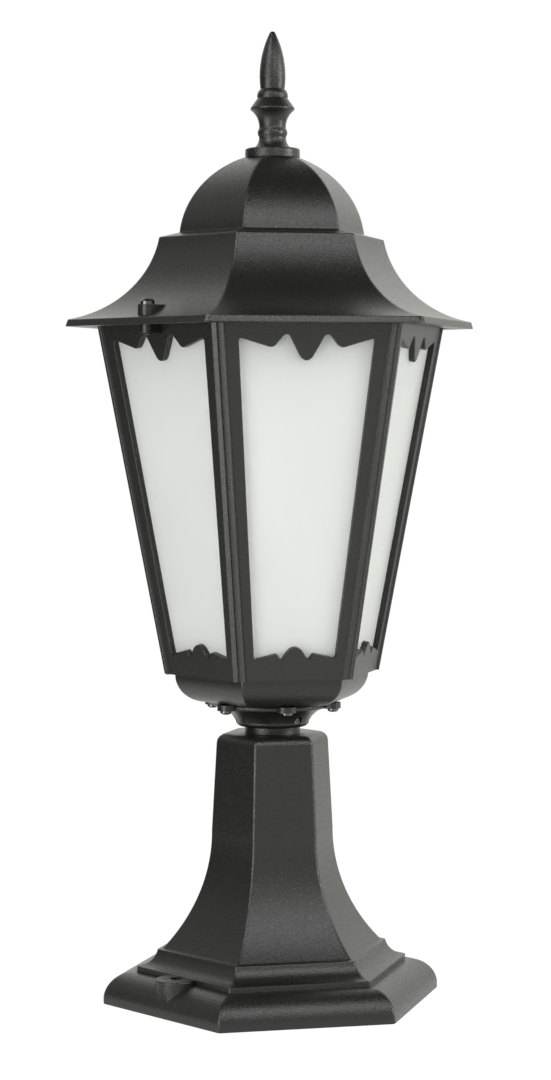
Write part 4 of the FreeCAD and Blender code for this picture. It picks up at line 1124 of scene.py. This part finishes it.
# %% [markdown]
# The pieces inside the lantern and the panes already have their true shape in the frame. They keep their
# meshes and only get the finish of their slot.

# %% Finishes on the carried-over nodes
slot_finishes = {"charcoal_coat": coat, "frosted_glass": satin_glass, **small_finishes}
for subpart in frame["record"]["subparts"]:
    node = frame["nodes"][subpart["node"]]
    node.data.materials.clear()
    node.data.materials.append(slot_finishes[subpart["material_slot"]])

# %% [markdown]
# The lamp stands on a white sheet before a white backdrop, as in a studio. Both glow, because a sheet that
# is lit evenly shows no shading. The floor is seen only from above, so that the lamp's underside can be
# looked at, and the backdrop is seen only by the camera.

# %% White sheets
SHEET_GLOW = 0.97


def white_sheet(name, glow):
    """A paper that is lit evenly from behind, so that it shows as plain white."""
    finish, tree, shader = new_finish(name)
    clouds = spread(tree, grain(tree, size=300, detail=2), 0, 1)
    two_tones(tree, shader, clouds, (0.065, 0.065, 0.065), (0.075, 0.075, 0.075))
    shader.inputs["Roughness"].default_value = 0.9
    shader.inputs["Specular IOR Level"].default_value = 0.1
    shader.inputs["Emission Color"].default_value = (*glow, 1)
    shader.inputs["Emission Strength"].default_value = SHEET_GLOW
    return finish


def clear_from_below(finish):
    """Let a sheet be seen only from its upper side, so that the lamp can be looked at from below."""
    tree = finish.node_tree
    side = tree.nodes.new("ShaderNodeNewGeometry")
    upper = tree.nodes.new("ShaderNodeMath")
    upper.operation = "SUBTRACT"
    upper.inputs[0].default_value = 1.0
    tree.links.new(side.outputs["Backfacing"], upper.inputs[1])
    tree.links.new(upper.outputs["Value"], tree.nodes["Principled BSDF"].inputs["Alpha"])


print("the sheets glow with the strength", SHEET_GLOW)

# %% Floor
floor_half_width = 650
floor_half_depth = 1400
floor_middle = (350, -600, -0.2)
bm = bmesh.new()
bmesh.ops.create_grid(bm, x_segments=8, y_segments=8, size=1)
bmesh.ops.scale(bm, vec=(floor_half_width, floor_half_depth, 1), verts=bm.verts)
bmesh.ops.translate(bm, vec=floor_middle, verts=bm.verts)
floor = to_object(bm, "white_sweep")
floor.data.flip_normals()
floor_finish = white_sheet("lit_floor_sheet", (1, 1, 0.97))
clear_from_below(floor_finish)
floor.data.materials.append(floor_finish)
print("the floor's faces point up:", floor.data.polygons[0].normal.z > 0)

# %% Backdrop
backdrop_radius = 8000
bm = bmesh.new()
bmesh.ops.create_icosphere(bm, subdivisions=4, radius=backdrop_radius)
backdrop = to_object(bm, "white_backdrop")
backdrop.data.materials.append(white_sheet("lit_backdrop", (1, 1, 1)))
backdrop.visible_diffuse = False
backdrop.visible_glossy = False
backdrop.visible_transmission = False
backdrop.visible_shadow = False
print("backdrop of", len(backdrop.data.polygons), "faces round the floor")

# %% [markdown]
# What lights the lamp and shows in its satin coat is a tent of pale cloth. A photographer dims parts of
# such a tent with black boards, so that each face of the hexagon has its own tone. Here the tent is the
# world's light: bright at the back, dim overhead and dark to the left. Each part is a smooth fade towards
# a direction, and the parts are multiplied.

# %% Tent
world = bpy.data.worlds.new("tent")
world.use_nodes = True
bpy.context.scene.world = world
tree = world.node_tree
direction = tree.nodes.new("ShaderNodeTexCoord")


def math_node(operation, first, second):
    """Join two values by an operation."""
    joined = tree.nodes.new("ShaderNodeMath")
    joined.operation = operation
    tree.links.new(first, joined.inputs[0])
    tree.links.new(second, joined.inputs[1])
    return joined.outputs["Value"]


def fade(towards, start, end, first, last):
    """A smooth change of brightness for the directions that come nearer to `towards`."""
    nearness = tree.nodes.new("ShaderNodeVectorMath")
    nearness.operation = "DOT_PRODUCT"
    nearness.inputs[1].default_value = Vector(towards).normalized()
    tree.links.new(direction.outputs["Generated"], nearness.inputs[0])
    change = tree.nodes.new("ShaderNodeMapRange")
    change.interpolation_type = "SMOOTHSTEP"
    change.inputs["From Min"].default_value = start
    change.inputs["From Max"].default_value = end
    change.inputs["To Min"].default_value = first
    change.inputs["To Max"].default_value = last
    tree.links.new(nearness.outputs["Value"], change.inputs["Value"])
    return change.outputs["Result"]


back_wall = fade((0, 1, 0), start=-0.3, end=0.4, first=0.75, last=1.08)
upward = fade((0, 0, 1), start=-0.02, end=0.35, first=0.82, last=1.2)
overhead = fade((0, -0.3, 0.95), start=0.38, end=0.82, first=1.0, last=0.08)
left_board = fade((-1, 0.15, 0), start=0.3, end=0.75, first=1.0, last=0.02)
above_board = fade((0, 0, 1), start=0.0, end=0.45, first=0.02, last=0.42)
below_board = fade((0, 0, -1), start=0.15, end=0.45, first=0.02, last=0.8)
round_board = math_node("MAXIMUM", above_board, below_board)
sides = math_node("MAXIMUM", left_board, round_board)
walls = math_node("MULTIPLY", math_node("MULTIPLY", back_wall, upward), overhead)
tent_light = math_node("MULTIPLY", walls, sides)
tree.links.new(tent_light, tree.nodes["Background"].inputs["Strength"])
tree.nodes["Background"].inputs["Color"].default_value = (1, 1, 0.94, 1)
bpy.context.scene.view_settings.view_transform = "Standard"
print("the tent is made of", len(tree.nodes), "nodes")

# %% [markdown]
# Four soft boxes give the long highlights: a large one low on the left, one high on the left, a narrow
# one on the right, and one in front that faces straight down. An area light has the shape of a real soft
# box, so its image in the satin coat has the same soft ends.

# %% Soft boxes
lamp_middle = Vector((0, 0, 0.25))


def soft_box(name, place, width, height, power, aim=lamp_middle):
    """An area light that faces the middle of the lamp, or another aim."""
    light = bpy.data.lights.new(name, "AREA")
    light.shape = "RECTANGLE"
    light.size = width
    light.size_y = height
    light.energy = power
    box = bpy.data.objects.new(name, light)
    box.location = place
    box.rotation_euler = (Vector(aim) - Vector(place)).to_track_quat("-Z", "Y").to_euler()
    bpy.context.scene.collection.objects.link(box)
    print(name, "shines with", power, "W")


soft_box("left_box", (-1.25, -0.78, 0.15), width=0.9, height=1.2, power=17.0)
soft_box("key_box", (-0.87, -0.72, 1.26), width=0.7, height=0.7, power=9.0)
soft_box("right_box", (1.30, -0.65, 0.57), width=0.4, height=0.9, power=12.0)
soft_box("front_box", (0.24, -0.89, 0.80), width=0.7, height=0.8, power=7.4, aim=(0.24, -0.89, 0.0))

# %% [markdown]
# The camera stands a little to the left of the lamp's front and slightly above its middle, with a long
# lens, as the shape of the ledges and the rim shows.

# %% Camera
camera_data = bpy.data.cameras.new("photo_camera")
camera_data.sensor_fit = "VERTICAL"
camera_data.sensor_height = 36
camera_data.lens = 89.21
camera = bpy.data.objects.new("photo_camera", camera_data)
camera.location = (-0.2970, -1.3028, 0.2977)
camera.rotation_euler = (radians(90 - 2.905), 0, radians(-12.906))
bpy.context.scene.collection.objects.link(camera)
bpy.context.scene.camera = camera
print("the camera stands", round((camera.location - lamp_middle).length, 2), "m from the lamp's middle")
